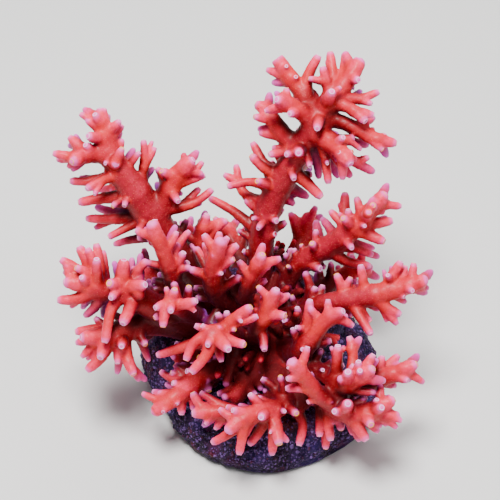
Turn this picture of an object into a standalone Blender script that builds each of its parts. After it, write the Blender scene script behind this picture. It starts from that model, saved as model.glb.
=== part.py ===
"""Branching staghorn-type coral colony on the loose stone that it grew over.

Metres, +Z up.  The origin is the centre of the stone's flat underside.  The colony is one
growth: a crust on the stone, with limbs that are split at its main forks.  Branch places are
traced by hand in pixels of the 500 x 500 photograph, whose view looks along +Y and down by
VIEW_TILT, and are turned into metres with PIXEL_SIZE, the real length of one pixel.
"""
import itertools
import math

import bmesh
import bpy
from mathutils import Vector, noise

MM = 0.001

# The photograph's view: the real size of a pixel at the colony's middle, FOCUS.
PIXEL_SIZE = 0.45 * MM
PHOTO_MIDDLE = 250
VIEW_TILT = math.radians(45)
VIEW_DISTANCE = 750 * MM
FOCUS = Vector((-6.75, 10, 78)) * MM
TO_RIGHT = Vector((1, 0, 0))
TO_TOP = Vector((0, math.sin(VIEW_TILT), math.cos(VIEW_TILT)))
TO_VIEWER = Vector((0, -math.cos(VIEW_TILT), math.sin(VIEW_TILT)))

# Stone and crust.
# Both are lumpy domes. An outline is one radius in mm for each side, from +X toward +Y.  A row of
# "rows", from the rim up, is: share of the radius, share of the height, and the share of the
# radius on the overhanging side.
STONE = {
    "centre": Vector(),
    "outline": (53, 53, 52.5, 52, 51, 50.5, 50, 50.5, 51.5, 54, 57, 59.5,
                59, 55.5, 53, 55.5, 55.5, 57, 58.5, 56.5, 57.5, 57.5, 55.5, 54),
    "height": 35 * MM,
    "rows": (
        (0.93, 0, 0.82), (1, 0.13, 0.92), (0.99, 0.32, 0.99), (0.9, 0.56, 1), (0.75, 0.76, 0.94),
        (0.5, 0.92, 0.66), (0.2, 1, 0.25),
    ),
    "overhang_turn": math.radians(172),
    "lump": 2.6 * MM,
    "seed": 3,
    "level_rows": 1,
}
CRUST = {
    "centre": Vector((-2, 9, 30)) * MM,
    "outline": (33.5, 32.5, 33, 34, 33, 32, 33.5, 34, 32.5, 32, 33, 34, 33.5, 32.5),
    "height": 12 * MM,
    "rows": (
        (1, -0.6, 1), (1, 0.15, 1), (0.9, 0.5, 0.9), (0.7, 0.78, 0.7), (0.4, 0.95, 0.4), (0.12, 1, 0.12),
    ),
    "overhang_turn": 0,
    "lump": 1.6 * MM,
    "seed": 11,
    "level_rows": 0,
}
LUMP_SCALE = 2.1
LUMP_SEED_STEP = Vector((1, 0.7, 0))
LUMP_UPRIGHT = 0.8
LIFT_TURN = 1.7
LIFT_SHARE = 0.7
LIFT_SEED = 5
OVERHANG_SHARPNESS = 3

# Branches.
GAP = 0.3 * MM
CUT_SWELLS = (0.5 * MM, 0.15 * MM)
STEM_SIDES = 6
TWIG_SIDES = 5
THIN_TWIG_SIDES = 4
THIN_TWIG = 4.2 * MM
ROOT_SWELL = 1.1
TIP_SHRINK = 0.86
THINNING = 0.33
TIP_DOME = 0.75
TIP_NECK = 0.22
TIP_NECK_SIZE = 0.7
MID_LEAN = 0.55
NUB_WIDTH = 3.3 * MM
NUB_REACH = 5 * MM
FLOOR_CLEARANCE = 2 * MM
DOME_CROWN = 0.4 * MM

# Short fingers on the side that the photograph doesn't show, in a rule of their own.
HIDDEN_FIRST = 0.3
HIDDEN_LAST = 0.94
HIDDEN_LENGTH = 10.5 * MM
HIDDEN_WIDTH = 4.2 * MM
HIDDEN_TURNS = (math.radians(52), math.radians(-44), math.radians(6))
HIDDEN_AWAY = Vector((0, 0.8, -0.6))
HIDDEN_FORWARD = 0.55

# Each limb: the limb that it grows from, its stem and its twigs.
# A stem point is (x pixel, y pixel, mm toward the viewer from the plane through FOCUS, width in mm).
# A twig is (foot x, foot y, [bend x, bend y,] tip x, tip y, mm by which it leans toward the
# viewer, width in mm).  "hidden" is the number of fingers on the far side.
LIMBS = {
    "left_tower": {
        "grows_from": "coral_foot",
        "stem": [
            (222, 303, -30, 14), (195, 272, -25, 14), (170, 242, -17, 13.5), (152, 216, -9, 12.5),
            (138, 192, -4, 10.5),
        ],
        "twigs": [
            (141, 192, 144, 166, 143.5, 139.5, 5, 3.8), (145, 160, 152.5, 141, -3, 2.8),
            (146, 168, 155.5, 147, 0, 3.4), (146, 182, 153.5, 168, -5, 3.8),
            (138, 195, 105, 198, 78, 202.5, -2, 5), (142, 198, 122, 199, 112, 207, 7, 3.5),
            (142, 198, 129, 196, 124, 206.5, 9, 3.5), (152, 218, 108, 219, 86, 218.5, -6, 4.4),
            (110, 220, 94.5, 228.5, -1, 3.7), (155, 214, 128, 227, 108, 237.5, 1, 3.9),
            (150, 212, 137, 233, 9, 3.8), (165, 234, 130, 240, 114, 244.5, -8, 3.7),
        ],
        "hidden": 4,
    },
    "left_tower_crown": {
        "grows_from": "left_tower",
        "stem": [
            (138, 192, -4, 9.3), (122, 172, 0, 8.6), (109, 153, 3, 7.8), (103, 132, 5, 6.5),
            (100, 107.5, 7, 4.3),
        ],
        "twigs": [
            (102, 120, 105, 108, 1, 3.7), (101, 126, 94.5, 114, 6, 4.3), (101, 132, 86, 119.5, 2, 3.7),
            (103, 140, 87, 136, 9, 4.7), (103, 130, 108.5, 115, -4, 3.8),
            (104, 136, 120.5, 120.5, 3, 4.1),
            (108, 152, 118, 131, -9, 3.9), (112, 160, 116, 164, 9, 5.4), (114, 162, 122, 138.5, 0, 4.3),
            (116, 162, 122.5, 147.5, 3, 4.3), (115, 165, 117, 175, 4, 4.6),
            (115, 165, 104, 173.5, 1, 3.5),
            (116, 165, 126.5, 169, 0, 3.2), (110, 157, 105, 164, 7, 2.5),
            (120, 172, 134, 149, -10, 3.8),
            (122, 174, 139.5, 152, 5, 3.4), (122, 173, 92, 181, 69.5, 181, 0, 4.3),
            (96, 180, 80, 177.5, -6, 3.5),
            (124, 174, 104, 179, 86, 189.5, 10, 4.3), (104, 180, 94, 195, 4, 3),
        ],
        "hidden": 4,
    },
    "left_tower_left_arm": {
        "grows_from": "left_tower_crown",
        "stem": [(109, 154, 3, 7.4), (97, 154, 4, 7), (86, 154, 6, 6.2), (71, 162, 13, 5)],
        "twigs": [
            (95, 153, 85, 144.5, 7, 4.1), (87, 154, 69, 136.5, -2, 4.6), (81, 148, 75.5, 135, -6, 3.4),
            (78, 148, 69, 145.5, -8, 3.4), (88, 154, 57, 159.5, -5, 4.6),
        ],
        "hidden": 2,
    },
    "left_tower_right_arm": {
        "grows_from": "left_tower",
        "stem": [
            (154, 218, -9, 9), (163, 203, -7, 9), (170, 188, -4, 8.4), (178, 173, -1, 7.3),
            (194, 159, 3, 5.2),
        ],
        "twigs": [
            (175, 178, 161, 170.5, 6, 4.5), (183, 168, 186.5, 158, -5, 3.8),
            (178, 178, 190, 176, 203, 161.5, -3, 3.5),
            (172, 186, 190, 180, 205.5, 175, 0, 3.9), (170, 190, 178.5, 202, 8, 3.9),
            (172, 190, 182, 194, -4, 3.6),
            (165, 198, 156.5, 183, -7, 4.1), (160, 208, 180, 206, 200, 188, -3, 3.9),
            (158, 212, 192, 204, 213, 189, 1, 4.1), (190, 206, 201, 203.5, -4, 3.7),
        ],
        "hidden": 3,
    },
    "middle_back_branch": {
        "grows_from": "coral_foot",
        "stem": [
            (232, 300, -30, 8), (213, 275, -22, 7), (201, 252, -15, 6), (202, 232, -12, 4.8),
            (207.5, 213.5, -9, 3.9),
        ],
        "twigs": [
            (202, 236, 214, 222, 1, 3.6), (203, 254, 212, 234, 227.5, 219.5, 4, 4.1),
            (202, 258, 197, 241, 198, 226, 5, 4.2),
        ],
        "hidden": 3,
    },
    "pillar_branch": {
        "grows_from": "coral_foot",
        "stem": [
            (205, 305, -18, 8), (186, 296, -5, 8), (174, 283, 5, 7.6), (169, 267, 13, 7),
            (161, 246, 20, 6), (150.5, 221.5, 26, 5.4),
        ],
        "twigs": [
            (154, 232, 155, 219, 0, 4.3), (172, 274, 167, 258, 160, 247, 9, 4.6),
            (172, 274, 184, 252, 6, 4.7),
            (174, 274, 190.5, 266.5, 5, 3.7), (171, 270, 180, 243, 189.5, 231, -5, 3.9),
            (165, 254, 175.5, 226, -12, 3.9),
            (157, 240, 147.5, 231, -4, 2.7), (159, 247, 148, 240, -4, 2.8),
            (178, 292, 158.5, 273.5, -7, 3.6),
        ],
        "hidden": 3,
    },
    "star_branch": {
        "grows_from": "coral_foot",
        "stem": [(206, 322, -15, 8), (190, 313, 0, 7.6), (177, 306, 12, 7), (170, 303, 19, 5.6)],
        "twigs": [
            (171, 303, 175, 288.5, 5, 4.8), (170, 302, 166, 287, -2, 3.5),
            (170, 303, 154.5, 308, 5, 4.7),
            (172, 304, 185, 304, 197, 300.5, 6, 4.9), (188, 304, 195.5, 312, 0, 3.3),
            (170, 304, 171, 311.5, 8, 4.1),
            (170, 304, 165, 312, 163, 327.5, 4, 4.8),
        ],
        "hidden": 2,
    },
    "left_cluster": {
        "grows_from": "coral_foot",
        "stem": [
            (208, 330, -22, 11), (182, 320, -10, 11.5), (156, 308, 2, 11.5), (134, 295, 11, 10),
            (120, 286, 15, 6.5),
        ],
        "twigs": [
            (119, 286, 108.5, 283, 9, 5.1), (122, 287, 124, 259, 6, 5.7),
            (131, 290, 137, 273, 147.5, 259.5, 3, 4.3),
            (124, 288, 146, 284.5, 9, 5.3), (138, 292, 139, 294, 8, 3.2),
            (120, 288, 110.5, 298.5, 8, 4.3),
            (135, 295, 130, 308, 122.5, 324.5, 12, 5.6), (126, 292, 112, 308, 104.5, 343, 6, 4.9),
            (134, 290, 132, 258, -8, 3.8), (140, 295, 140.5, 254, -12, 3.8),
            (122, 288, 114, 262, -14, 3.2),
        ],
        "hidden": 3,
    },
    "left_cluster_fan": {
        "grows_from": "left_cluster",
        "stem": [
            (124, 291, 12, 7.4), (108, 290, 12, 7.4), (94, 288, 13, 6.6), (79, 284, 15, 5.6),
            (63, 282, 17, 5),
        ],
        "twigs": [
            (98, 288, 97, 272, 96.5, 258.5, 10, 4.4), (100, 288, 100, 266, 96, 243, 0, 4.5),
            (106, 290, 105, 268, 103, 250.5, -6, 3.5), (97, 286, 93, 263, 87, 247.5, 2, 4.5),
            (95, 287, 88, 264, 78.5, 246, -1, 5.2), (92, 287, 78, 270, 60, 259, 1, 4.6),
            (93, 287, 87, 273, 75, 267.5, 7, 4.2), (90, 286, 81, 277, 8, 4.2),
            (85, 284, 64, 271.5, -6, 3.9),
            (97, 289, 76, 299, 57, 300, -1, 4.9), (88, 296, 70.5, 307.5, -3, 3.1),
            (104, 290, 95, 307, 84.5, 316, -7, 4.3),
            (108, 291, 103, 317, -12, 3.6), (96, 290, 82, 308, -12, 3.6),
        ],
        "hidden": 2,
    },
    "lower_left_cluster": {
        "grows_from": "coral_foot",
        "stem": [
            (208, 340, -24, 9), (180, 328, -16, 10), (153, 323, -7, 10.5), (130, 328, 1, 10.5),
            (108, 336, 7, 8), (80, 337.5, 13, 5.1),
        ],
        "twigs": [
            (118, 336, 98, 329, 75, 332, -2, 4.8), (104, 339, 76, 343, -5, 4.2),
            (108, 339, 100, 358.5, 9, 4.9),
            (106, 340, 87, 359.5, -5, 3.3), (114, 338, 101, 357, 86, 371, 1, 5),
            (118, 338, 117.5, 364, 4, 3.6),
            (124, 338, 128, 360, 134, 375.5, 6, 4.8), (124, 335, 121.5, 347, 10, 4.5),
            (131, 337, 129.5, 350, 3, 3.3),
            (136, 336, 146, 345.5, 6, 4), (134, 338, 149, 361, -6, 3.6),
            (122, 342, 117, 373.5, -9, 3.8),
            (140, 338, 141, 380, -10, 3.3), (150, 340, 147.5, 380.5, -8, 3.7),
        ],
        "hidden": 3,
    },
    "centre_crown": {
        "grows_from": "coral_foot",
        "stem": [
            (240, 320, -22, 8.5), (225, 303, -7, 8.5), (213, 288, 4, 8), (212, 272, 14, 7),
            (216, 257, 21, 6), (221.5, 239, 28, 5.1),
        ],
        "twigs": [
            (219, 248, 228.5, 237, -1, 4.1), (220, 246, 226, 245, 3, 3.1),
            (215, 262, 215, 252.5, 7, 3.5),
            (213, 268, 204, 242.5, -2, 3.7), (215, 263, 238, 244.5, 1, 4.3),
            (213, 268, 234.5, 259, 4, 3.9),
            (212, 272, 222, 273.5, 6, 2.9), (212, 285, 205, 264, 195, 247, -5, 4.4),
            (203, 262, 190.5, 244, -3, 2.5),
            (213, 288, 206, 283, 6, 3.1), (215, 291, 228, 284, 241.5, 276.5, 6, 4.3),
        ],
        "hidden": 3,
    },
    "centre_right_branch": {
        "grows_from": "coral_foot",
        "stem": [
            (250, 320, -18, 7.5), (245, 299, -3, 6.8), (249, 280, 7, 5.8), (256, 267, 12, 5),
            (263, 253.5, 17, 4.5),
        ],
        "twigs": [(252, 274, 270, 265.5, 4, 3.8), (247, 288, 258, 291.5, -2, 3.1)],
        "hidden": 3,
    },
    "front_spray": {
        "grows_from": "coral_foot",
        "stem": [(248, 338, -16, 10), (236, 336, -2, 9.6), (224, 335, 11, 9), (212, 334, 22, 7)],
        "twigs": [
            (220, 334, 236, 318, 251.5, 306.5, 8, 5.3), (232, 322, 246, 320, 258, 316, 2, 4.3),
            (224, 330, 217, 328, 8, 3.7), (236, 318, 241.5, 321.5, 6, 2.7),
            (224, 330, 235.5, 329.5, 5, 3.1),
            (213, 334, 201.5, 325, 2, 3.6), (222, 335, 197, 327, 178, 340, 156.5, 355.5, -7, 4.3),
            (213, 335, 195, 342, 185.5, 361, 1, 4.5), (213, 335, 207.5, 346, 7, 3.9),
            (214, 335, 229, 350, 12, 4.9),
            (216, 335, 232, 341, 245.5, 345, 8, 4.4), (216, 337, 221.5, 362, 3, 4.3),
            (213, 336, 206, 355, 190.5, 373, 3, 5.1),
            (238, 337, 239, 355, 236, 372, 225.5, 387, 6, 4.7),
            (237, 368, 246.5, 376, -3, 3.3), (236, 368, 219.5, 377.5, -5, 3.5),
            (232, 336, 207, 321, 203, 309, -10, 3.6),
            (212, 321, 219.5, 305.5, -2, 3.9),
        ],
        "hidden": 3,
    },
    "front_spray_right": {
        "grows_from": "coral_foot",
        "stem": [
            (262, 342, -16, 8), (257, 333, 0, 7.6), (262, 320, 10, 6.4), (270, 303, 15, 5.2),
            (277, 288.5, 19, 4.5),
        ],
        "twigs": [
            (263, 318, 264, 305, 263, 293.5, -2, 3.6), (263, 319, 274, 315, 286, 316, 7, 4.7),
            (259, 328, 263, 338, 264.5, 351, 7, 4.3),
        ],
        "hidden": 2,
    },
    "right_tower": {
        "grows_from": "coral_foot",
        "stem": [
            (262, 303, -38, 12), (260, 270, -31, 11.5), (262, 240, -24, 11), (267, 215, -18, 11),
            (276, 190, -11, 11), (289, 166, -4, 10.5), (301, 147, 1, 10),
        ],
        "twigs": [
            (284, 176, 266, 165, 252, 142, -4, 4.5), (283, 178, 263, 167, 250.5, 155, 6, 4.5),
            (271, 205, 243, 192, 236, 164.5, -9, 4.1), (241, 184, 223.5, 174, 0, 4.1),
            (277, 190, 252, 182, 227, 186.5, 3, 4), (278, 186, 256.5, 181, 11, 4.3),
            (272, 204, 243, 196, -13, 4.3),
            (291, 164, 294, 179.5, 8, 3.7), (289, 168, 306, 182, 322, 198, 2, 5.1),
            (281, 182, 308, 197, -9, 4.5),
            (277, 190, 294, 204.5, -5, 4.5), (267, 214, 277, 221.5, 8, 4.3),
            (266, 214, 258, 229, 8, 3.5),
            (266, 217, 252.5, 218.5, 9, 2.8), (262, 236, 276, 234, 6, 4.3),
            (263, 236, 236, 213, 209, 197.5, -4, 4.7),
            (261, 262, 243, 250.5, 4, 3.7), (260, 268, 255, 248.5, 8, 3.4),
            (298, 150, 282, 152, 268.5, 155, 5, 4.1),
            (296, 152, 272, 147.5, -3, 3.7), (300, 147, 298.5, 153, 14, 4.9),
            (299, 148, 286, 155, 9, 3.9),
            (301, 147, 308, 158, 310, 167, 8, 3.5),
        ],
        "hidden": 5,
    },
    "right_tower_crown": {
        "grows_from": "right_tower",
        "stem": [
            (301, 147, 1, 9.8), (312, 128, 5, 9.5), (322, 111, 8, 9), (334, 97, 10, 8),
            (348, 80, 10, 6.8), (362, 59.5, 11, 5.3),
        ],
        "twigs": [
            (330, 102, 327, 84, 322, 66, 3, 4.3), (326, 82, 308, 78.5, 1, 3.5),
            (336, 96, 333, 75, 330, 51.5, -4, 4.7),
            (332, 72, 326, 60, -2, 3.1), (343, 86, 344, 70, 345, 52.5, -6, 4.2),
            (350, 77, 357, 58, -5, 3.7),
            (349, 79, 359, 80, 7, 4.3), (343, 86, 353.5, 88, -7, 2.9), (325, 107, 332, 91, 14, 4.8),
            (331, 95, 341, 87, -1, 3.2), (329, 99, 321, 97, -2, 2.5), (320, 114, 317, 129, 13, 4.3),
            (330, 102, 350, 108, 366, 122, 8, 4.9), (354, 111, 374.5, 115, 1, 4.3),
            (334, 98, 358, 99, 379.5, 91.5, 0, 4.1),
            (357, 100, 372.5, 104, 2, 3.7), (352, 99, 361, 91, -8, 3.4),
        ],
        "hidden": 4,
    },
    "right_tower_upper_arm": {
        "grows_from": "right_tower_crown",
        "stem": [(316, 122, 5, 8.5), (305, 98, 6, 8.3), (293, 81, 6, 7.4), (277, 58.5, 6, 6.4)],
        "twigs": [
            (290, 78, 266.5, 69.5, -4, 4.6), (304, 97, 308, 76, 319, 55, 2, 4.9),
            (294, 82, 296, 76.5, 5, 3.1),
            (285, 69, 286.5, 66, 5, 3),
        ],
        "hidden": 2,
    },
    "right_tower_left_arm": {
        "grows_from": "right_tower",
        "stem": [
            (303, 152, -2, 8.5), (288, 139, 0, 8.3), (277, 125, 2, 8), (268, 112, 2, 6.6),
            (255.5, 103, 1, 5.6),
        ],
        "twigs": [(286, 137, 258.5, 132.5, -2, 4.1), (274, 120, 253.5, 116.5, 4, 3.9)],
        "hidden": 2,
    },
    "right_tower_front_arm": {
        "grows_from": "right_tower_crown",
        "stem": [(315, 124, 7, 8), (301, 112, 12, 7.8), (288, 104, 16, 7.3), (276, 99, 22, 5)],
        "twigs": [
            (288, 104, 286, 89.5, 1, 5.4), (284, 102, 275.5, 94.5, -5, 3.5),
            (300, 112, 289, 114, 9, 4.7),
            (286, 104, 264.5, 111.5, -1, 4.3),
        ],
        "hidden": 1,
    },
    "right_tower_long_arm": {
        "grows_from": "right_tower_crown",
        "stem": [
            (318, 119, 5, 7.5), (338, 121, 7, 7.4), (356, 129, 8, 7), (375, 139, 9, 6.2),
            (396, 143.5, 9, 5.1),
        ],
        "twigs": [
            (364, 134, 383, 150.5, 2, 3.9), (371, 136, 373, 127.5, -1, 3.4),
            (383, 140, 384.5, 133, 1, 3.3),
        ],
        "hidden": 2,
    },
    "right_tower_low_arm": {
        "grows_from": "right_tower_crown",
        "stem": [(309, 134, 2, 8), (323, 137, 9, 8), (337, 147, 14, 7), (351, 165, 20, 5)],
        "twigs": [
            (334, 144, 343.5, 137, 8, 3.8), (344, 156, 338.5, 152, 3, 3.5),
            (344, 156, 353, 151, 2, 3.5),
            (334, 144, 348, 141, 361.5, 150, -4, 3.2), (326, 139, 350, 141, 368, 145.5, -12, 4.1),
            (320, 137, 325, 158, 328.5, 184, -4, 4.3), (326, 158, 327.5, 164, 5, 2.6),
            (328, 142, 338, 160, 351, 177, -8, 4.3),
            (326, 140, 352, 160, 374, 172, -13, 4.6), (356, 162, 369.5, 157, 1, 3.7),
            (318, 137, 338, 177, -16, 4),
            (314, 136, 319, 178, -13, 4),
        ],
        "hidden": 2,
    },
    "right_middle_arm": {
        "grows_from": "coral_foot",
        "stem": [
            (274, 308, -36, 9.5), (286, 285, -29, 9.3), (303, 262, -22, 9), (326, 247, -15, 9),
            (346, 235, -8, 8.6),
        ],
        "twigs": [
            (344, 237, 352, 248.5, 10, 3.7), (338, 240, 357, 249, 373, 255, -4, 4.1),
            (340, 239, 374, 248.5, -9, 3.4),
            (336, 242, 379, 257, -12, 3.6), (326, 248, 348, 262, 371, 266, -2, 4.4),
            (320, 250, 316, 220.5, -7, 4.3),
            (338, 240, 322, 218, -6, 4.2), (318, 252, 311.5, 243, 10, 4.1),
            (304, 262, 321, 269, 7, 5.1),
            (306, 260, 301, 244, 2, 3.1), (298, 268, 294, 248.5, 3, 3.5), (290, 278, 272, 257, 3, 3.7),
            (293, 272, 287.5, 266, 9, 2.8),
        ],
        "hidden": 3,
    },
    "right_middle_crown": {
        "grows_from": "right_middle_arm",
        "stem": [(346, 235, -8, 8.4), (360, 224, -2, 7.6), (373, 207, 2, 6), (386.5, 193, 5, 4.9)],
        "twigs": [
            (371, 210, 373, 205, 9, 4.5), (365, 218, 369, 212, 13, 4.7),
            (368, 213, 372.5, 198, -6, 3.6),
            (364, 218, 365.5, 206, -7, 3.2), (347, 234, 345, 212, 345, 192.5, -6, 4.9),
            (345, 214, 338.5, 203, -1, 3.1),
            (352, 230, 348, 209, 4, 4), (357, 227, 342.5, 218, 9, 4.3), (347, 221, 338.5, 213, -1, 2.8),
            (349, 231, 329.5, 210, -2, 3.8), (356, 227, 360, 209, -8, 3.2),
            (360, 224, 378, 223, 393, 220.5, -1, 4.9),
            (366, 222, 387, 217, -7, 3), (357, 228, 372, 236, 385, 242, 4, 5.1),
            (360, 225, 365, 226, 9, 2.9),
        ],
        "hidden": 3,
    },
    "right_low_arm": {
        "grows_from": "coral_foot",
        "stem": [
            (284, 330, -28, 9.5), (305, 313, -19, 9.3), (330, 303, -11, 9), (356, 298, -5, 8.8),
            (378, 294, -1, 8.3),
        ],
        "twigs": [
            (366, 297, 363, 280, 360.5, 264.5, 3, 4.2), (345, 300, 341, 286, 336, 273.5, 3, 4.3),
            (307, 312, 310, 290, 305, 271, 1, 4.4), (372, 296, 388, 308, 401.5, 315, 3, 4.3),
            (382, 304, 397.5, 325, 0, 4.1), (380, 303, 387, 322, -2, 3.1),
            (354, 299, 362, 312, 371, 322, 2, 3.8),
            (350, 300, 362, 320, 371.5, 335, 9, 4.2), (294, 322, 286, 296, 281.5, 281, -1, 3.7),
            (299, 318, 291.5, 295, 3, 3.1),
        ],
        "hidden": 3,
    },
    "right_low_crown": {
        "grows_from": "right_low_arm",
        "stem": [(378, 294, -1, 8.1), (394, 290, 1, 7.2), (411, 285, 3, 5.8), (427, 279.5, 5, 4.8)],
        "twigs": [
            (406, 287, 428.5, 288, -4, 3.9), (400, 288, 413.5, 273.5, -4, 3.7),
            (386, 292, 392, 277, 401.5, 261, 3, 4.8),
            (391, 280, 387.5, 275, 7, 3.4), (392, 276, 391, 266.5, -4, 3),
            (388, 286, 383.5, 270, -6, 2.8),
            (394, 290, 402.5, 276.5, -7, 3.2), (403, 287, 413, 291, 7, 3.5),
            (393, 291, 405, 297, 3, 3.9),
            (390, 292, 406, 302.5, -3, 3.7),
        ],
        "hidden": 3,
    },
    "front_fork": {
        "grows_from": "coral_foot",
        "stem": [
            (282, 347, -16, 10), (297, 353, -2, 9.6), (307, 345, 7, 8.4), (318, 330, 12, 6.6),
            (330, 316, 16, 5.4), (344, 311, 20, 4),
        ],
        "twigs": [
            (305, 347, 298, 326, 299, 310, 310, 299.5, 8, 4.4), (299, 330, 296, 327, 5, 3.3),
            (305, 348, 302.5, 349.5, 8, 3.2),
            (328, 318, 328, 299, 0, 3.9), (328, 319, 347, 319.5, -3, 3.6),
            (310, 341, 309.5, 326, -8, 3.2),
        ],
        "hidden": 2,
    },
    "front_right_cluster": {
        "grows_from": "coral_foot",
        "stem": [
            (292, 354, -14, 9.5), (314, 371, 1, 9.3), (333, 382, 11, 9), (348, 384, 18, 8),
            (359, 377, 23, 6.5), (374, 368, 28, 5),
        ],
        "twigs": [
            (336, 382, 337, 362, 338, 345, 7, 4.7), (337, 360, 331, 346.5, -2, 2.7),
            (338, 358, 345, 346, -2, 2.8),
            (350, 383, 353, 356, 349, 336, -3, 4.2), (351, 350, 360.5, 337.5, -4, 4.1),
            (357, 378, 358.5, 361, 6, 4),
            (359, 377, 374, 354, 1, 4.1), (362, 375, 377.5, 359.5, -6, 3.5),
            (349, 384, 348, 371.5, 13, 5.1),
            (360, 376, 360, 370.5, 8, 4), (346, 384, 340, 378, 10, 4.2),
            (347, 385, 360, 391, 376, 392.5, 3, 3.8),
            (318, 373, 323, 370, 9, 3), (312, 369, 321.5, 349, 5, 3.3),
        ],
        "hidden": 3,
    },
    "right_front_arm": {
        "grows_from": "front_right_cluster",
        "stem": [
            (345, 387, 11, 8), (366, 384, 10, 7.8), (388, 376, 12, 7), (403, 370, 14, 5.6),
            (417.5, 363.5, 16, 4.7),
        ],
        "twigs": [
            (370, 382, 385, 368, 399, 355, -4, 4.2), (392, 374, 399, 362.5, -5, 3.1),
            (392, 375, 408.5, 381, 4, 4.2),
            (398, 372, 412.5, 375, -4, 2.8), (376, 381, 396, 386, -4, 3.9),
        ],
        "hidden": 3,
    },
    "low_right_cluster": {
        "grows_from": "coral_foot",
        "stem": [
            (300, 364, -14, 9.5), (317, 386, 0, 9.3), (334, 404, 9, 9), (352, 414, 15, 8.5),
            (370, 412, 19, 7), (395, 398.5, 21, 5),
        ],
        "twigs": [
            (345, 410, 348, 403.5, 16, 5.3), (345, 410, 334, 411.5, 11, 4.6),
            (338, 406, 328, 400, 8, 4.1),
            (374, 410, 382, 407.5, 11, 4.4), (374, 410, 377, 399, 4, 3.8),
            (376, 409, 390, 396, -4, 4.1),
            (368, 413, 384, 415, 400, 415.5, -1, 5.1), (386, 416, 402.5, 421, 1, 3.5),
            (382, 416, 397, 428, -2, 3.6),
            (378, 416, 387, 426, -2, 3.2), (364, 413, 371.5, 425.5, 9, 4.7),
            (360, 414, 378.5, 432, -4, 3.9),
            (352, 414, 358, 427, 367, 441, 4, 5.3), (350, 414, 359.5, 441, -5, 4.1),
            (346, 412, 353, 435, -5, 3.5),
            (323, 392, 320, 412, 319.5, 437, 3, 4.3), (330, 400, 328, 420, 331, 441, 1, 4.5),
            (327, 397, 325.5, 449, -6, 4.3), (338, 407, 341, 430, -5, 4.6),
        ],
        "hidden": 2,
    },
    "front_leader": {
        "grows_from": "low_right_cluster",
        "stem": [(335, 404, 11, 8), (318, 394, 17, 7.5), (304, 377, 24, 6.5), (290, 361, 30, 5.4)],
        "twigs": [
            (302, 376, 286.5, 379, 3, 3.7), (312, 387, 296, 389, 2, 3.6),
            (320, 395, 307, 402.5, 2, 3.6),
            (306, 380, 303.5, 365.5, -4, 3), (314, 389, 311, 372.5, -4, 3),
            (293, 365, 287.5, 368, 3, 2.1),
        ],
        "hidden": 0,
    },
    "front_low_spray": {
        "grows_from": "coral_foot",
        "stem": [
            (272, 364, -14, 9.5), (283, 387, -2, 9), (283, 403, 5, 8.6), (270, 411, 11, 8),
            (255, 413, 16, 7), (240, 421, 19, 5.7), (226, 432, 22, 4.9),
        ],
        "twigs": [
            (283, 401, 283, 388, 280, 375.5, 6, 3.5), (283, 398, 272, 386, 261, 378.5, 0, 4),
            (282, 396, 262, 398, 241, 390, -6, 3.8),
            (266, 411, 249.5, 394, 5, 4.2), (260, 412, 238, 404.5, -4, 2.7),
            (252, 414, 232, 410, 5, 4.2),
            (266, 412, 261, 417.5, 12, 4.4), (245, 418, 228, 434, 211.5, 443, -5, 4.5),
            (244, 419, 242, 438, 239, 455, -1, 4.6),
            (268, 412, 260, 430, 249, 445, -4, 4.4), (271, 411, 276, 430, 279.5, 445, 8, 5),
            (275, 426, 272, 455, -4, 4.4),
            (277, 430, 288, 441.5, -3, 3.5), (283, 402, 297, 414, 10, 4.3),
            (276, 408, 285, 411.5, 9, 2.8),
            (274, 424, 270, 433, 5, 2.3), (284, 398, 302, 420, 299, 446, 1, 4.4),
        ],
        "hidden": 2,
    },
    "front_low_left_spray": {
        "grows_from": "front_low_spray",
        "stem": [(256, 413, 9, 6.5), (236, 413, 8, 6), (212, 412, 8, 5.4), (191.5, 413.5, 9, 4.4)],
        "twigs": [
            (238, 413, 217, 403, 200, 392, -3, 4.3), (212, 412, 204, 402.5, 0, 3.2),
            (214, 412, 205, 424.5, 1, 2.9),
            (236, 414, 217, 425.5, -6, 3.3),
        ],
        "hidden": 1,
    },
    "left_low_arm": {
        "grows_from": "coral_foot",
        "stem": [
            (236, 350, -18, 9), (213, 370, -8, 8.8), (191, 386, -2, 8.3), (173, 399, 1, 7),
            (152, 413.5, 2, 5),
        ],
        "twigs": [
            (180, 394, 157.5, 393, 0, 3.7), (167, 403, 163, 412.5, 4, 3.2),
            (195, 385, 184, 372, 174, 364, -1, 3.8),
            (182, 393, 176.5, 404.5, 5, 2.8), (202, 381, 206, 388.5, 5, 4), (198, 384, 196, 396, 3, 4),
            (190, 388, 172, 379, 160, 371, -4, 3.7), (186, 390, 166, 384, -8, 4),
        ],
        "hidden": 2,
    },
    "back_left_limb": {
        "grows_from": "coral_foot",
        "stem": [(238, 303, -40, 9), (216, 275, -43, 8.3), (193, 246, -44, 7), (178, 226, -44, 4.8)],
        "twigs": [
            (195, 250, 195, 226, 3, 3.8), (205, 262, 186, 222, 4, 3.8),
            (185, 238, 181, 221, -3, 3.6),
        ],
        "hidden": 5,
    },
    "back_limb": {
        "grows_from": "coral_foot",
        "stem": [(255, 298, -46, 10), (242, 265, -54, 9), (231, 238, -60, 7.4), (224, 222, -62, 4.8)],
        "twigs": [(232, 242, 214, 217, 3, 3.8), (238, 256, 246, 226, -2, 3.8)],
        "hidden": 5,
    },
    "back_right_limb": {
        "grows_from": "coral_foot",
        "stem": [(274, 302, -46, 10), (291, 264, -50, 9), (304, 235, -52, 7.4), (309, 212, -52, 4.8)],
        "twigs": [
            (305, 228, 316, 206, 3, 3.8), (300, 242, 290, 212, 2, 3.8),
            (297, 250, 322, 228, 2, 3.8),
        ],
        "hidden": 5,
    },
    "right_back_limb": {
        "grows_from": "coral_foot",
        "stem": [(292, 314, -40, 9), (325, 288, -40, 8), (350, 272, -37, 6.6), (373, 267, -34, 4.4)],
        "twigs": [
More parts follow.
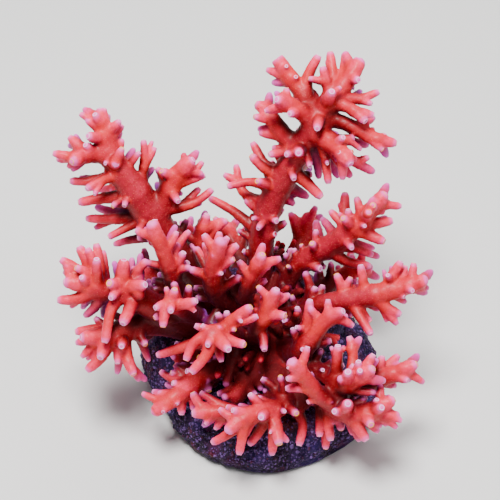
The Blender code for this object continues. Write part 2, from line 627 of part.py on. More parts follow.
            (352, 272, 352, 254, 2, 3.6), (340, 278, 358, 282, 5, 3.6),
            (330, 285, 331, 262, 6, 3.6),
        ],
        "hidden": 5,
    },
    "left_back_limb": {
        "grows_from": "coral_foot",
        "stem": [(220, 318, -34, 9), (184, 295, -33, 8), (156, 276, -30, 6.6), (136, 264, -28, 4.6)],
        "twigs": [(160, 280, 147, 262, 6, 3.6), (175, 290, 168, 262, 4, 3.6)],
        "hidden": 5,
    },
    "left_tower_back_arm": {
        "grows_from": "left_tower",
        "stem": [(160, 228, -12, 8.5), (142, 212, -25, 8), (124, 192, -33, 6.6), (112, 174, -37, 4.6)],
        "twigs": [(130, 198, 110, 190, -3, 3.8), (136, 205, 138, 182, -2, 3.8)],
        "hidden": 6,
    },
    "right_tower_back_arm": {
        "grows_from": "right_tower",
        "stem": [(282, 180, -9, 9), (300, 162, -25, 8.3), (315, 140, -35, 6.8), (325, 120, -39, 4.6)],
        "twigs": [(312, 146, 334, 138, -3, 3.8), (306, 152, 298, 128, -3, 3.8)],
        "hidden": 7,
    },
}

BROKEN_TIPS = ("right_tower_upper_arm",)

# Colour and roughness.
CORAL_FINISH = ((0.80, 0.135, 0.075), 0.42)
SHADED_FINISH = ((0.42, 0.06, 0.10), 0.42)
CRUST_FINISH = ((0.30, 0.035, 0.055), 0.5)
STONE_FINISH = ((0.035, 0.022, 0.075), 0.75)


def clear_scene():
    for thing in list(bpy.data.objects):
        bpy.data.objects.remove(thing, do_unlink=True)


def make_material(name, colour, roughness):
    finish = bpy.data.materials.new(name)
    finish.use_nodes = True
    shader = finish.node_tree.nodes["Principled BSDF"]
    shader.inputs["Base Color"].default_value = (*colour, 1)
    shader.inputs["Roughness"].default_value = roughness
    shader.inputs["Metallic"].default_value = 0
    return finish


def photo_point(x_pixel, y_pixel, toward):
    """World point of a photo pixel that lies `toward` nearer the viewer than FOCUS."""
    scale = PIXEL_SIZE * (1 - toward / VIEW_DISTANCE)
    right = (x_pixel - PHOTO_MIDDLE) * scale
    top = (PHOTO_MIDDLE - y_pixel) * scale
    return FOCUS + TO_RIGHT * right + TO_TOP * top + TO_VIEWER * toward


def nearest_axis_point(axes, x_pixel, y_pixel):
    """The point (x, y, toward, width) of the traced axes that is nearest to a pixel."""
    best = None
    for axis in axes:
        for start, end in zip(axis, axis[1:]):
            run = (end[0] - start[0], end[1] - start[1])
            length = max(run[0] ** 2 + run[1] ** 2, 1e-9)
            share = ((x_pixel - start[0]) * run[0] + (y_pixel - start[1]) * run[1]) / length
            share = min(max(share, 0), 1)
            point = tuple(a + (b - a) * share for a, b in zip(start, end))
            distance = math.hypot(point[0] - x_pixel, point[1] - y_pixel)
            if best is None or distance < best[0]:
                best = (distance, point)
    return best[1]


def traced_twig(axes, twig):
    """Axis points (x, y, toward, width) of one traced twig, rooted on the axes so far."""
    *pixels, lean, width = twig
    root = nearest_axis_point(axes, pixels[0], pixels[1])
    axis = [(root[0], root[1], root[2], width)]
    if len(pixels) == 6:
        axis.append((pixels[2], pixels[3], root[2] + lean * MID_LEAN, width))
    axis.append((pixels[-2], pixels[-1], root[2] + lean, width))
    return axis, root[3]


def world_axis(axis):
    points = [photo_point(x, y, toward * MM) for x, y, toward, width in axis]
    radii = [width * MM / 2 for x, y, toward, width in axis]
    return points, radii


def hidden_twig_axes(stem_points, count):
    """Fingers on the far side of a stem, turned about it by HIDDEN_TURNS in order."""
    spans = list(zip(stem_points, stem_points[1:]))
    total = sum((end - start).length for start, end in spans)
    fingers = []
    for index in range(count):
        share = HIDDEN_FIRST + (HIDDEN_LAST - HIDDEN_FIRST) * (index + 0.5) / count
        left = share * total
        for start, end in spans:
            if left <= (end - start).length:
                break
            left -= (end - start).length
        along = (end - start).normalized()
        root = start + along * left
        away = (HIDDEN_AWAY - along * HIDDEN_AWAY.dot(along)).normalized()
        side = along.cross(away)
        turn = HIDDEN_TURNS[index % len(HIDDEN_TURNS)]
        outward = away * math.cos(turn) + side * math.sin(turn)
        direction = (outward + along * HIDDEN_FORWARD).normalized()
        tip = root + direction * HIDDEN_LENGTH
        if tip.z > FLOOR_CLEARANCE:
            fingers.append([root, tip])
    return fingers


def closed_mesh(shell, name):
    """A mesh of flat triangles from a bmesh, so that a Boolean meets no bent face."""
    bmesh.ops.triangulate(shell, faces=shell.faces)
    mesh = bpy.data.meshes.new(name)
    shell.to_mesh(mesh)
    shell.free()
    return mesh


def tube_mesh(points, radii, sides, blunt=False):
    """A closed tapered tube along points, flat at its root and domed or blunt at its tip."""
    shell = bmesh.new()
    tangents = []
    for index in range(len(points)):
        before = points[max(index - 1, 0)]
        after = points[min(index + 1, len(points) - 1)]
        tangents.append((after - before).normalized())
    stations = [(point, radius, tangent) for point, radius, tangent in zip(points, radii, tangents)]
    tip, tip_radius, tip_tangent = stations.pop()
    if blunt:
        stations.append((tip, tip_radius, tip_tangent))
    else:
        stations.append((tip - tip_tangent * tip_radius * TIP_DOME, tip_radius, tip_tangent))
        if sides >= STEM_SIDES:
            neck = tip - tip_tangent * tip_radius * TIP_NECK
            stations.append((neck, tip_radius * TIP_NECK_SIZE, tip_tangent))
    fullness = math.sqrt(2 * math.pi / (sides * math.sin(2 * math.pi / sides)))
    across = stations[0][2].orthogonal().normalized()
    rings = []
    for centre, radius, tangent in stations:
        across = (across - tangent * across.dot(tangent)).normalized()
        other = tangent.cross(across)
        ring = []
        for side in range(sides):
            angle = 2 * math.pi * side / sides
            offset = across * math.cos(angle) + other * math.sin(angle)
            ring.append(shell.verts.new(centre + offset * radius * fullness))
        rings.append(ring)
    shell.faces.new(list(reversed(rings[0])))
    for lower, upper in zip(rings, rings[1:]):
        for side in range(sides):
            after = (side + 1) % sides
            shell.faces.new((lower[side], lower[after], upper[after], upper[side]))
    if blunt:
        shell.faces.new(rings[-1])
    else:
        apex = shell.verts.new(tip)
        for side in range(sides):
            shell.faces.new((rings[-1][side], rings[-1][(side + 1) % sides], apex))
    return closed_mesh(shell, "tube")


def tapered_tube(points, radii, sides, blunt=False):
    """The mesh of one branch, its root swollen and its tip drawn in."""
    shaped = list(radii)
    shaped[0] *= ROOT_SWELL
    shaped[-1] *= TIP_SHRINK
    return tube_mesh(points, shaped, sides, blunt)


def limb_tubes(name):
    """The meshes of every branch of a limb, the stem first."""
    limb = LIMBS[name]
    points, radii = world_axis(limb["stem"])
    tubes = [tube_mesh(points, radii, STEM_SIDES, blunt=name in BROKEN_TIPS)]
    axes = [limb["stem"]]
    for twig in limb["twigs"]:
        axis, stem_width = traced_twig(axes, twig)
        axes.append(axis)
        twig_points, twig_radii = world_axis(axis)
        width = 2 * twig_radii[-1]
        reach = sum((b - a).length for a, b in zip(twig_points, twig_points[1:])) - stem_width * MM / 2
        if width < NUB_WIDTH or reach < NUB_REACH:
            continue
        sides = THIN_TWIG_SIDES if width < THIN_TWIG else TWIG_SIDES
        tubes.append(tapered_tube(twig_points, twig_radii, sides))
    for root, tip in hidden_twig_axes(points, limb["hidden"]):
        tubes.append(tapered_tube([root, tip], [HIDDEN_WIDTH / 2] * 2, THIN_TWIG_SIDES))
    return tubes


def helper_collection(name, meshes, swells=(0.0,)):
    """Wire helpers for a Boolean: each mesh once for each swell along its normals."""
    group = bpy.data.collections.new(name)
    bpy.context.scene.collection.children.link(group)
    for index, (mesh, grow) in enumerate(itertools.product(meshes, swells)):
        helper = bpy.data.objects.new(f"{name}.{index:02d}", mesh)
        helper.hide_render = True
        helper.display_type = "WIRE"
        group.objects.link(helper)
        if grow:
            swell = helper.modifiers.new("swell", "DISPLACE")
            swell.direction = "NORMAL"
            swell.mid_level = 0
            swell.strength = grow
    return group


def boolean(target, operation, group, solver="EXACT"):
    step = target.modifiers.new(operation.lower(), "BOOLEAN")
    step.operation = operation
    step.solver = solver
    step.operand_type = "COLLECTION"
    step.collection = group


def largest_island(mesh):
    """Keeps the biggest closed shell of a mesh, so that no cut-off tip is left floating."""
    shell = bmesh.new()
    shell.from_mesh(mesh)
    unseen = set(shell.verts)
    islands = []
    while unseen:
        front = [unseen.pop()]
        island = set(front)
        while front:
            for edge in front.pop().link_edges:
                for vert in edge.verts:
                    if vert in unseen:
                        unseen.discard(vert)
                        island.add(vert)
                        front.append(vert)
        islands.append(island)
    islands.sort(key=len, reverse=True)
    for island in islands[1:]:
        bmesh.ops.delete(shell, geom=list(island), context="VERTS")
    bmesh.ops.triangulate(shell, faces=shell.faces)
    shell.to_mesh(mesh)
    shell.free()


def bake_modifiers(target):
    """Turns an object's modifiers into its mesh."""
    bpy.context.view_layer.update()
    graph = bpy.context.evaluated_depsgraph_get()
    mesh = bpy.data.meshes.new_from_object(target.evaluated_get(graph))
    target.modifiers.clear()
    target.data = mesh


def near(mesh, other):
    """Whether the boxes round two meshes come within GAP of each other."""
    for axis in range(3):
        mine = [vert.co[axis] for vert in mesh.vertices]
        theirs = [vert.co[axis] for vert in other.vertices]
        if min(mine) > max(theirs) + 2 * GAP or min(theirs) > max(mine) + 2 * GAP:
            return False
    return True


def link_node(name, mesh, finish):
    node = bpy.data.objects.new(name, mesh)
    bpy.context.scene.collection.objects.link(node)
    node.data.materials.clear()
    node.data.materials.append(finish)
    return node


def lump(direction, size, seed):
    """A smooth bump height for a direction, the same on every run."""
    return size * noise.noise(direction * LUMP_SCALE + LUMP_SEED_STEP * seed)


def dome_mesh(dome):
    """A lumpy closed dome with a flat underside, from its dictionary."""
    shell = bmesh.new()
    sides = len(dome["outline"])
    rings = []
    for row, (wide, high, wide_over) in enumerate(dome["rows"]):
        ring = []
        for side, reach in enumerate(dome["outline"]):
            angle = 2 * math.pi * side / sides
            over = max(math.cos(angle - dome["overhang_turn"]), 0) ** OVERHANG_SHARPNESS
            spread = reach * MM * (wide + (wide_over - wide) * over)
            lift = 0
            if row >= dome["level_rows"]:
                direction = Vector((math.cos(angle), math.sin(angle), high * LUMP_UPRIGHT))
                spread += lump(direction, dome["lump"], dome["seed"])
                lift = lump(direction * LIFT_TURN, dome["lump"] * LIFT_SHARE, dome["seed"] + LIFT_SEED)
            height = dome["height"] * high + lift
            place = Vector((math.cos(angle) * spread, math.sin(angle) * spread, height))
            ring.append(shell.verts.new(dome["centre"] + place))
        rings.append(ring)
    shell.faces.new(list(reversed(rings[0])))
    for lower, upper in zip(rings, rings[1:]):
        for side in range(sides):
            after = (side + 1) % sides
            shell.faces.new((lower[side], lower[after], upper[after], upper[side]))
    top = sum((vert.co for vert in rings[-1]), Vector()) / sides
    apex = shell.verts.new(top + Vector((0, 0, DOME_CROWN)))
    for side in range(sides):
        shell.faces.new((rings[-1][side], rings[-1][(side + 1) % sides], apex))
    return closed_mesh(shell, "dome")


def build_stone():
    return link_node("stone", dome_mesh(STONE), make_material("stone", *STONE_FINISH))


def build_crust(stone):
    node = link_node("coral_foot", dome_mesh(CRUST), make_material("coral_foot", *CRUST_FINISH))
    boolean(node, "DIFFERENCE", helper_collection("coral_foot_cut", [stone.data], (GAP,)))
    bake_modifiers(node)
    largest_island(node.data)
    return node


def build_limb(name, earlier):
    """One limb: its tubes joined and thinned, then cut clear of what stands already."""
    finish = SHADED_FINISH if "back" in name else CORAL_FINISH
    tubes = limb_tubes(name)
    node = link_node(name, tubes[0], make_material(name, *finish))
    if len(tubes) > 1:
        boolean(node, "UNION", helper_collection(f"{name}_twigs", tubes[1:]))
        bake_modifiers(node)
        thinner = node.modifiers.new("thin", "DECIMATE")
        thinner.ratio = THINNING
        bake_modifiers(node)
    cutters = [other.data for other in earlier if near(node.data, other.data)]
    if cutters:
        # EXACT leaves holes here, because a thinned mesh can cross itself by a hair.
        boolean(node, "DIFFERENCE", helper_collection(f"{name}_cut", cutters, CUT_SWELLS), "MANIFOLD")
        bake_modifiers(node)
    largest_island(node.data)
    node.parent = bpy.data.objects[LIMBS[name]["grows_from"]]
    return node


def main():
    clear_scene()
    stone = build_stone()
    built = [stone, build_crust(stone)]
    for name in LIMBS:
        built.append(build_limb(name, built))


main()
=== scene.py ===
import math
import bmesh
import bpy
import numpy as np
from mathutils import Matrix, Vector, noise


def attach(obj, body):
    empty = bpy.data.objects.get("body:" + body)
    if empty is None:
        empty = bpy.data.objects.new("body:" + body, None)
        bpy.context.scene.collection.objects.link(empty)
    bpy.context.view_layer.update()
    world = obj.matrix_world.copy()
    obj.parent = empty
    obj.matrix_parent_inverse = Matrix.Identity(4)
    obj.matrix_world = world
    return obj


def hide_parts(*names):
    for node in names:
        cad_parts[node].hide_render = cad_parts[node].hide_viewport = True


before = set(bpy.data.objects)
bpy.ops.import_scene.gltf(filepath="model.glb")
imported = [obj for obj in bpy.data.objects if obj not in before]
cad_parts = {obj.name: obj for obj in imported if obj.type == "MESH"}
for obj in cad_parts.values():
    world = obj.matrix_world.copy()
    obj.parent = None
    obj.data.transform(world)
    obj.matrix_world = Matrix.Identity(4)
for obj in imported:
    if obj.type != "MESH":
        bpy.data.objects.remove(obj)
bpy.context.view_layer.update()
millimetre = 0.001

# The photograph's view. Branches are traced in its 500 x 500 pixels and turned into metres here.
photo = {
    "pixelSize": 0.45 * millimetre,  # at the colony's middle
    "middle": 250,
    "tilt": math.radians(45),  # how far the camera looks down
    "distance": 750 * millimetre,
    "focus": np.array([-6.75, 10, 78]) * millimetre,
    "lens": 120,
    "sensor": 36,
}
toRight = np.array([1.0, 0.0, 0.0])
toTop = np.array([0.0, math.sin(photo["tilt"]), math.cos(photo["tilt"])])
toViewer = np.array([0.0, -math.cos(photo["tilt"]), math.sin(photo["tilt"])])

# Each limb: its stem, as (x pixel, y pixel, mm toward the viewer, width in mm), and its twigs, as
# (foot x, foot y, [bend x, bend y,] tip x, tip y, mm it leans toward the viewer, width in mm).
# "hidden" is the number of guessed fingers behind it. The CAD's limbs follow nearly all of these.
limbs = {
    "left_tower": {"hidden": 4, "stem": [
        (222, 303, -30, 14), (195, 272, -25, 14), (170, 242, -17, 13.5), (151, 216, -9, 13.4),
        (135, 191, -4, 12.2),
    ], "twigs": [
        (139, 221, 114, 212, 96, 207, -15, 4.3), (137, 227, 112, 220, 97, 217, -17, 4.1),
        (141, 192, 144, 166, 143.5, 139.5, 5, 3.8), (145, 160, 152.5, 141, -3, 2.8),
        (146, 168, 155.5, 147, 0, 3.4), (146, 182, 153.5, 168, -5, 3.8),
        (138, 195, 105, 198, 78, 202.5, -2, 5), (142, 198, 122, 199, 112, 207, 7, 3.5),
        (142, 198, 129, 196, 124, 206.5, 9, 3.5), (152, 218, 108, 219, 86, 218.5, -6, 4.4),
        (110, 220, 94.5, 228.5, -1, 3.7), (155, 214, 128, 227, 108, 237.5, 1, 3.9),
        (150, 212, 137, 233, 9, 3.8), (165, 234, 130, 240, 114, 244.5, -8, 3.7),
    ]},
    "left_tower_crown": {"hidden": 4, "stem": [
        (135, 191, -4, 13.2), (121, 172, 0, 11), (109, 153, 3, 9), (103, 132, 5, 6.7),
        (100, 107.5, 7, 4.3),
    ], "twigs": [
        (102, 120, 105, 108, 1, 3.7), (101, 126, 94.5, 114, 6, 4.3), (101, 132, 86, 119.5, 2, 3.7),
        (103, 140, 87, 136, 9, 4.7), (103, 130, 108.5, 115, -4, 3.8),
        (104, 136, 120.5, 120.5, 3, 4.1), (108, 152, 118, 131, -9, 3.9),
        (112, 160, 116, 164, 9, 5.4), (114, 162, 122, 138.5, 0, 4.3),
        (116, 162, 122.5, 147.5, 3, 4.3), (115, 165, 117, 175, 4, 4.6),
        (115, 165, 104, 173.5, 1, 3.5), (116, 165, 126.5, 169, 0, 3.2),
        (110, 157, 105, 164, 7, 2.5), (120, 172, 134, 149, -10, 3.8),
        (122, 174, 139.5, 152, 5, 3.4), (122, 173, 92, 181, 69.5, 181, 0, 4.3),
        (96, 180, 80, 177.5, -6, 3.5), (124, 174, 104, 179, 86, 189.5, 10, 4.3),
        (104, 180, 94, 195, 4, 3),
    ]},
    "left_tower_left_arm": {"hidden": 2, "stem": [
        (109, 154, 3, 7.4), (97, 154, 4, 7), (86, 154, 6, 6.2), (71, 162, 13, 5),
    ], "twigs": [
        (95, 153, 85, 144.5, 7, 4.1), (87, 154, 69, 136.5, -2, 4.6), (81, 148, 75.5, 135, -6, 3.4),
        (78, 148, 69, 145.5, -8, 3.4), (88, 154, 57, 159.5, -5, 4.6),
    ]},
    "left_tower_right_arm": {"hidden": 3, "stem": [
        (154, 218, -9, 9), (163, 203, -7, 9), (170, 188, -4, 8.4), (178, 173, -1, 7.3),
        (194, 159, 3, 5.2),
    ], "twigs": [
        (175, 178, 161, 170.5, 6, 4.5), (183, 168, 186.5, 158, -5, 3.8),
        (178, 178, 190, 176, 203, 161.5, -3, 3.5), (172, 186, 190, 180, 205.5, 175, 0, 3.9),
        (170, 190, 178.5, 202, 8, 3.9), (172, 190, 182, 194, -4, 3.6),
        (165, 198, 156.5, 183, -7, 4.1), (160, 208, 180, 206, 200, 188, -3, 3.9),
        (158, 212, 192, 204, 213, 189, 1, 4.1), (190, 206, 201, 203.5, -4, 3.7),
    ]},
    "middle_back_branch": {"hidden": 3, "stem": [
        (232, 300, -30, 8), (213, 275, -22, 7), (201, 252, -15, 6), (202, 232, -12, 4.8),
        (207.5, 213.5, -9, 3.9),
    ], "twigs": [
        (202, 236, 214, 222, 1, 3.6), (203, 254, 212, 234, 227.5, 219.5, 4, 4.1),
        (202, 258, 197, 241, 198, 226, 5, 4.2),
    ]},
    "pillar_branch": {"hidden": 3, "stem": [
        (205, 305, -18, 8), (186, 296, -5, 8), (174, 283, 5, 7.6), (169, 267, 13, 7),
        (161, 246, 20, 6), (150.5, 221.5, 26, 5.4),
    ], "twigs": [
        (154, 232, 155, 219, 0, 4.3), (172, 274, 167, 258, 160, 247, 9, 4.6),
        (172, 274, 184, 252, 6, 4.7), (174, 274, 190.5, 266.5, 5, 3.7),
        (171, 270, 180, 243, 189.5, 231, -5, 3.9), (165, 254, 175.5, 226, -12, 3.9),
        (157, 240, 147.5, 231, -4, 2.7), (159, 247, 148, 240, -4, 2.8),
        (178, 292, 158.5, 273.5, -7, 3.6),
    ]},
    "star_branch": {"hidden": 2, "stem": [
        (206, 322, -15, 8), (190, 313, 0, 7.6), (177, 306, 12, 7), (170, 303, 19, 5.6),
    ], "twigs": [
        (171, 303, 175, 288.5, 5, 4.8), (170, 302, 166, 287, -2, 3.5),
        (170, 303, 154.5, 308, 5, 4.7), (172, 304, 185, 304, 197, 300.5, 6, 4.9),
        (188, 304, 195.5, 312, 0, 3.3), (170, 304, 171, 311.5, 8, 4.1),
        (170, 304, 165, 312, 163, 327.5, 4, 4.8),
    ]},
    "left_cluster": {"hidden": 3, "stem": [
        (208, 330, -22, 11), (182, 320, -10, 11.5), (156, 308, 2, 11.5), (134, 295, 11, 10),
        (120, 286, 15, 6.5),
    ], "twigs": [
        (150, 297, 149, 280, -8, 4), (160, 300, 161, 282, -10, 4), (171, 303, 173, 286, -8, 4),
        (119, 286, 108.5, 283, 9, 5.1), (122, 287, 124, 259, 6, 5.7),
        (131, 290, 137, 273, 147.5, 259.5, 3, 4.3), (124, 288, 146, 284.5, 9, 5.3),
        (138, 292, 139, 294, 8, 3.2), (120, 288, 110.5, 298.5, 8, 4.3),
        (135, 295, 130, 308, 122.5, 324.5, 12, 5.6), (126, 292, 112, 308, 104.5, 343, 6, 4.9),
        (134, 290, 132, 258, -8, 3.8), (140, 295, 140.5, 254, -12, 3.8),
        (122, 288, 114, 262, -14, 3.2),
    ]},
    "left_cluster_fan": {"hidden": 2, "stem": [
        (124, 291, 12, 7.4), (108, 290, 12, 7.4), (94, 288, 13, 6.6), (79, 284, 15, 5.6),
        (63, 282, 17, 5),
    ], "twigs": [
        (98, 288, 97, 272, 96.5, 258.5, 10, 4.4), (100, 288, 100, 266, 96, 243, 0, 4.5),
        (106, 290, 105, 268, 103, 250.5, -6, 3.5), (97, 286, 93, 263, 87, 247.5, 2, 4.5),
        (95, 287, 88, 264, 78.5, 246, -1, 5.2), (92, 287, 78, 270, 60, 259, 1, 4.6),
        (93, 287, 87, 273, 75, 267.5, 7, 4.2), (90, 286, 81, 277, 8, 4.2),
        (85, 284, 64, 271.5, -6, 3.9), (97, 289, 76, 299, 57, 300, -1, 4.9),
        (88, 296, 70.5, 307.5, -3, 3.1), (104, 290, 95, 307, 84.5, 316, -7, 4.3),
        (108, 291, 103, 317, -12, 3.6), (96, 290, 82, 308, -12, 3.6),
    ]},
    "lower_left_cluster": {"hidden": 3, "stem": [
        (208, 340, -24, 9), (180, 328, -16, 10), (153, 323, -7, 10.5), (130, 328, 1, 10.5),
        (108, 336, 7, 8), (80, 337.5, 13, 5.1),
    ], "twigs": [
        (118, 336, 98, 329, 75, 332, -2, 4.8), (104, 339, 76, 343, -5, 4.2),
        (108, 339, 100, 358.5, 9, 4.9), (106, 340, 87, 359.5, -5, 3.3),
        (114, 338, 101, 357, 86, 371, 1, 5), (118, 338, 117.5, 364, 4, 3.6),
        (124, 338, 128, 360, 134, 375.5, 6, 4.8), (124, 335, 121.5, 347, 10, 4.5),
        (131, 337, 129.5, 350, 3, 3.3), (136, 336, 146, 345.5, 6, 4), (134, 338, 149, 361, -6, 3.6),
        (122, 342, 117, 373.5, -9, 3.8), (130, 362, 139.5, 381, -5, 3.4),
        (133, 369, 146, 380.5, -7, 3.4),
    ]},
    "centre_crown": {"hidden": 3, "stem": [
        (240, 320, -22, 8.5), (225, 303, -7, 8.5), (213, 288, 4, 8), (212, 272, 14, 7),
        (216, 257, 21, 6), (221.5, 239, 28, 5.1),
    ], "twigs": [
        (219, 248, 228.5, 237, -1, 4.1), (220, 246, 226, 245, 3, 3.1),
        (215, 262, 215, 252.5, 7, 3.5), (213, 268, 204, 242.5, -2, 3.7),
        (215, 263, 238, 244.5, 1, 4.3), (213, 268, 234.5, 259, 4, 3.9),
        (212, 272, 222, 273.5, 6, 2.9), (212, 285, 205, 264, 195, 247, -5, 4.4),
        (203, 262, 190.5, 244, -3, 2.5), (213, 288, 206, 283, 6, 3.1),
        (215, 291, 228, 284, 241.5, 276.5, 6, 4.3),
    ]},
    "centre_right_branch": {"hidden": 3, "stem": [
        (250, 320, -18, 7.5), (245, 299, -3, 6.8), (249, 280, 7, 5.8), (256, 267, 12, 5),
        (263, 253.5, 17, 4.5),
    ], "twigs": [
        (252, 274, 270, 265.5, 4, 3.8), (247, 288, 258, 291.5, -2, 3.1),
    ]},
    "front_spray": {"hidden": 3, "stem": [
        (248, 338, -16, 10), (236, 336, -2, 9.6), (224, 335, 11, 9), (212, 334, 22, 7),
    ], "twigs": [
        (220, 334, 236, 318, 251.5, 306.5, 8, 5.3), (232, 322, 246, 320, 258, 316, 2, 4.3),
        (224, 330, 217, 328, 8, 3.7), (236, 318, 241.5, 321.5, 6, 2.7),
        (224, 330, 235.5, 329.5, 5, 3.1), (213, 334, 201.5, 325, 2, 3.6),
        (222, 335, 197, 327, 178, 340, 156.5, 355.5, -7, 4.3),
        (213, 335, 195, 342, 185.5, 361, 1, 4.5), (213, 335, 207.5, 346, 7, 3.9),
        (214, 335, 229, 350, 12, 4.9), (216, 335, 232, 341, 245.5, 345, 8, 4.4),
        (216, 337, 221.5, 362, 3, 4.3), (213, 336, 206, 355, 190.5, 373, 3, 5.1),
        (238, 337, 239, 355, 236, 372, 225.5, 387, 6, 4.7), (237, 368, 246.5, 376, -3, 3.3),
        (236, 368, 219.5, 377.5, -5, 3.5), (232, 336, 207, 321, 203, 309, -10, 3.6),
        (212, 321, 219.5, 305.5, -2, 3.9),
    ]},
    "front_spray_right": {"hidden": 2, "stem": [
        (262, 342, -16, 8), (257, 333, 0, 7.6), (262, 320, 10, 6.4), (270, 303, 15, 5.2),
        (277, 288.5, 19, 4.5),
    ], "twigs": [
        (263, 318, 264, 305, 263, 293.5, -2, 3.6), (263, 319, 274, 315, 286, 316, 7, 4.7),
        (259, 328, 263, 338, 264.5, 351, 7, 4.3),
    ]},
    "right_tower": {"hidden": 5, "stem": [
        (262, 303, -38, 12), (260, 270, -31, 11.5), (262, 240, -24, 11), (267, 215, -18, 11),
        (276, 190, -11, 11), (289, 166, -4, 10.5), (301, 147, 1, 10),
    ], "twigs": [
        (284, 176, 266, 165, 252, 142, -4, 4.5), (283, 178, 263, 167, 250.5, 155, 6, 4.5),
        (271, 205, 243, 192, 236, 164.5, -9, 4.1), (241, 184, 223.5, 174, 0, 4.1),
        (277, 190, 252, 182, 227, 186.5, 3, 4), (278, 186, 256.5, 181, 11, 4.3),
        (272, 204, 243, 196, -13, 4.3), (291, 164, 294, 179.5, 8, 3.7),
        (289, 168, 306, 182, 322, 198, 2, 5.1), (281, 182, 308, 197, -9, 4.5),
        (277, 190, 294, 204.5, -5, 4.5), (267, 214, 277, 221.5, 8, 4.3),
        (266, 214, 258, 229, 8, 3.5), (266, 217, 252.5, 218.5, 9, 2.8),
        (262, 236, 276, 234, 6, 4.3), (263, 236, 236, 213, 209, 197.5, -4, 4.7),
        (261, 262, 243, 250.5, 4, 3.7), (260, 268, 255, 248.5, 8, 3.4),
        (298, 150, 282, 152, 268.5, 155, 5, 4.1), (296, 152, 272, 147.5, -3, 3.7),
        (300, 147, 298.5, 153, 14, 4.9), (299, 148, 286, 155, 9, 3.9),
        (301, 147, 308, 158, 310, 167, 8, 3.5),
    ]},
    "right_tower_crown": {"hidden": 4, "stem": [
        (301, 147, 1, 9.8), (312, 128, 5, 9.5), (322, 111, 8, 9), (334, 97, 10, 8),
        (348, 80, 10, 6.8), (362, 59.5, 11, 5.3),
    ], "twigs": [
        (330, 102, 327, 84, 322, 66, 3, 4.3), (326, 82, 308, 78.5, 1, 3.5),
        (336, 96, 333, 75, 330, 51.5, -4, 4.7), (332, 72, 326, 60, -2, 3.1),
        (343, 86, 344, 70, 345, 52.5, -6, 4.2), (350, 77, 357, 58, -5, 3.7),
        (349, 79, 359, 80, 7, 4.3), (343, 86, 353.5, 88, -7, 2.9), (325, 107, 332, 91, 14, 4.8),
        (331, 95, 341, 87, -1, 3.2), (329, 99, 321, 97, -2, 2.5), (320, 114, 317, 129, 13, 4.3),
        (330, 102, 350, 108, 366, 122, 8, 4.9), (354, 111, 374.5, 115, 1, 4.3),
        (334, 98, 358, 99, 379.5, 91.5, 0, 4.1), (357, 100, 372.5, 104, 2, 3.7),
        (352, 99, 361, 91, -8, 3.4),
    ]},
    "right_tower_upper_arm": {"hidden": 1, "stem": [
        (316, 122, 5, 8.2), (305, 98, 6, 7.6), (293, 81, 6, 6.6), (277, 58.5, 6, 5.8),
    ], "twigs": [
        (290, 78, 266.5, 69.5, -4, 4.1), (304, 97, 308, 76, 319, 55, 2, 4.9),
        (294, 82, 296, 76.5, 5, 3.1), (285, 69, 286.5, 66, 5, 3),
    ]},
    "right_tower_left_arm": {"hidden": 2, "stem": [
        (303, 152, -2, 8), (288, 139, 0, 7.4), (277, 125, 2, 6.7), (268, 112, 2, 5.6),
        (255.5, 103, 1, 4.7),
    ], "twigs": [
        (286, 137, 258.5, 132.5, -2, 4.1), (274, 120, 253.5, 116.5, 4, 3.9),
    ]},
    "right_tower_front_arm": {"hidden": 1, "stem": [
        (315, 124, 7, 7.6), (301, 112, 12, 7), (288, 104, 16, 6), (276, 99, 22, 4.6),
    ], "twigs": [
        (288, 104, 286, 87.5, 1, 4.1), (284, 102, 275.5, 92, -5, 3.3), (300, 112, 289, 114, 9, 4.1),
        (286, 104, 264.5, 111.5, -1, 3.6),
    ]},
    "right_tower_long_arm": {"hidden": 2, "stem": [
        (318, 119, 5, 7), (338, 121, 7, 6.4), (356, 129, 8, 5.9), (375, 139, 9, 5.2),
        (397, 143.5, 9, 4.1),
    ], "twigs": [
        (364, 134, 383, 150.5, 2, 3.9), (371, 136, 373, 127.5, -1, 3.4),
        (383, 140, 384.5, 133, 1, 3.3),
    ]},
    "right_tower_low_arm": {"hidden": 2, "stem": [
        (309, 134, 2, 8), (323, 137, 9, 8), (337, 147, 14, 7), (351, 165, 20, 5),
    ], "twigs": [
        (334, 144, 343.5, 137, 8, 3.8), (344, 156, 338.5, 152, 3, 3.5),
        (344, 156, 353, 151, 2, 3.5), (334, 144, 348, 141, 361.5, 150, -4, 3.2),
        (326, 139, 350, 141, 368, 145.5, -12, 4.1), (320, 137, 325, 158, 328.5, 184, -4, 4.3),
        (326, 158, 327.5, 164, 5, 2.6), (328, 142, 338, 160, 351, 177, -8, 4.3),
        (326, 140, 352, 160, 374, 172, -13, 4.6), (356, 162, 369.5, 157, 1, 3.7),
        (318, 137, 338, 177, -16, 4), (314, 136, 319, 178, -13, 4),
    ]},
    "right_middle_arm": {"hidden": 3, "stem": [
        (274, 308, -36, 9.5), (286, 285, -29, 9.3), (303, 262, -22, 9), (326, 247, -15, 9),
        (346, 235, -8, 8.6),
    ], "twigs": [
        (344, 237, 352, 248.5, 10, 3.7), (338, 240, 357, 249, 373, 255, -4, 4.1),
        (340, 239, 374, 248.5, -9, 3.4), (336, 242, 379, 257, -12, 3.6),
        (326, 248, 348, 262, 371, 266, -2, 4.4), (320, 250, 316, 220.5, -7, 4.3),
        (338, 240, 322, 218, -6, 4.2), (318, 252, 311.5, 243, 10, 4.1),
        (304, 262, 321, 269, 7, 5.1), (306, 260, 301, 244, 2, 3.1), (298, 268, 294, 248.5, 3, 3.5),
        (290, 278, 272, 257, 3, 3.7), (293, 272, 287.5, 266, 9, 2.8),
    ]},
    "right_middle_crown": {"hidden": 3, "stem": [
        (346, 235, -8, 8.4), (360, 224, -2, 7.6), (373, 207, 2, 6), (386.5, 193, 5, 4.9),
    ], "twigs": [
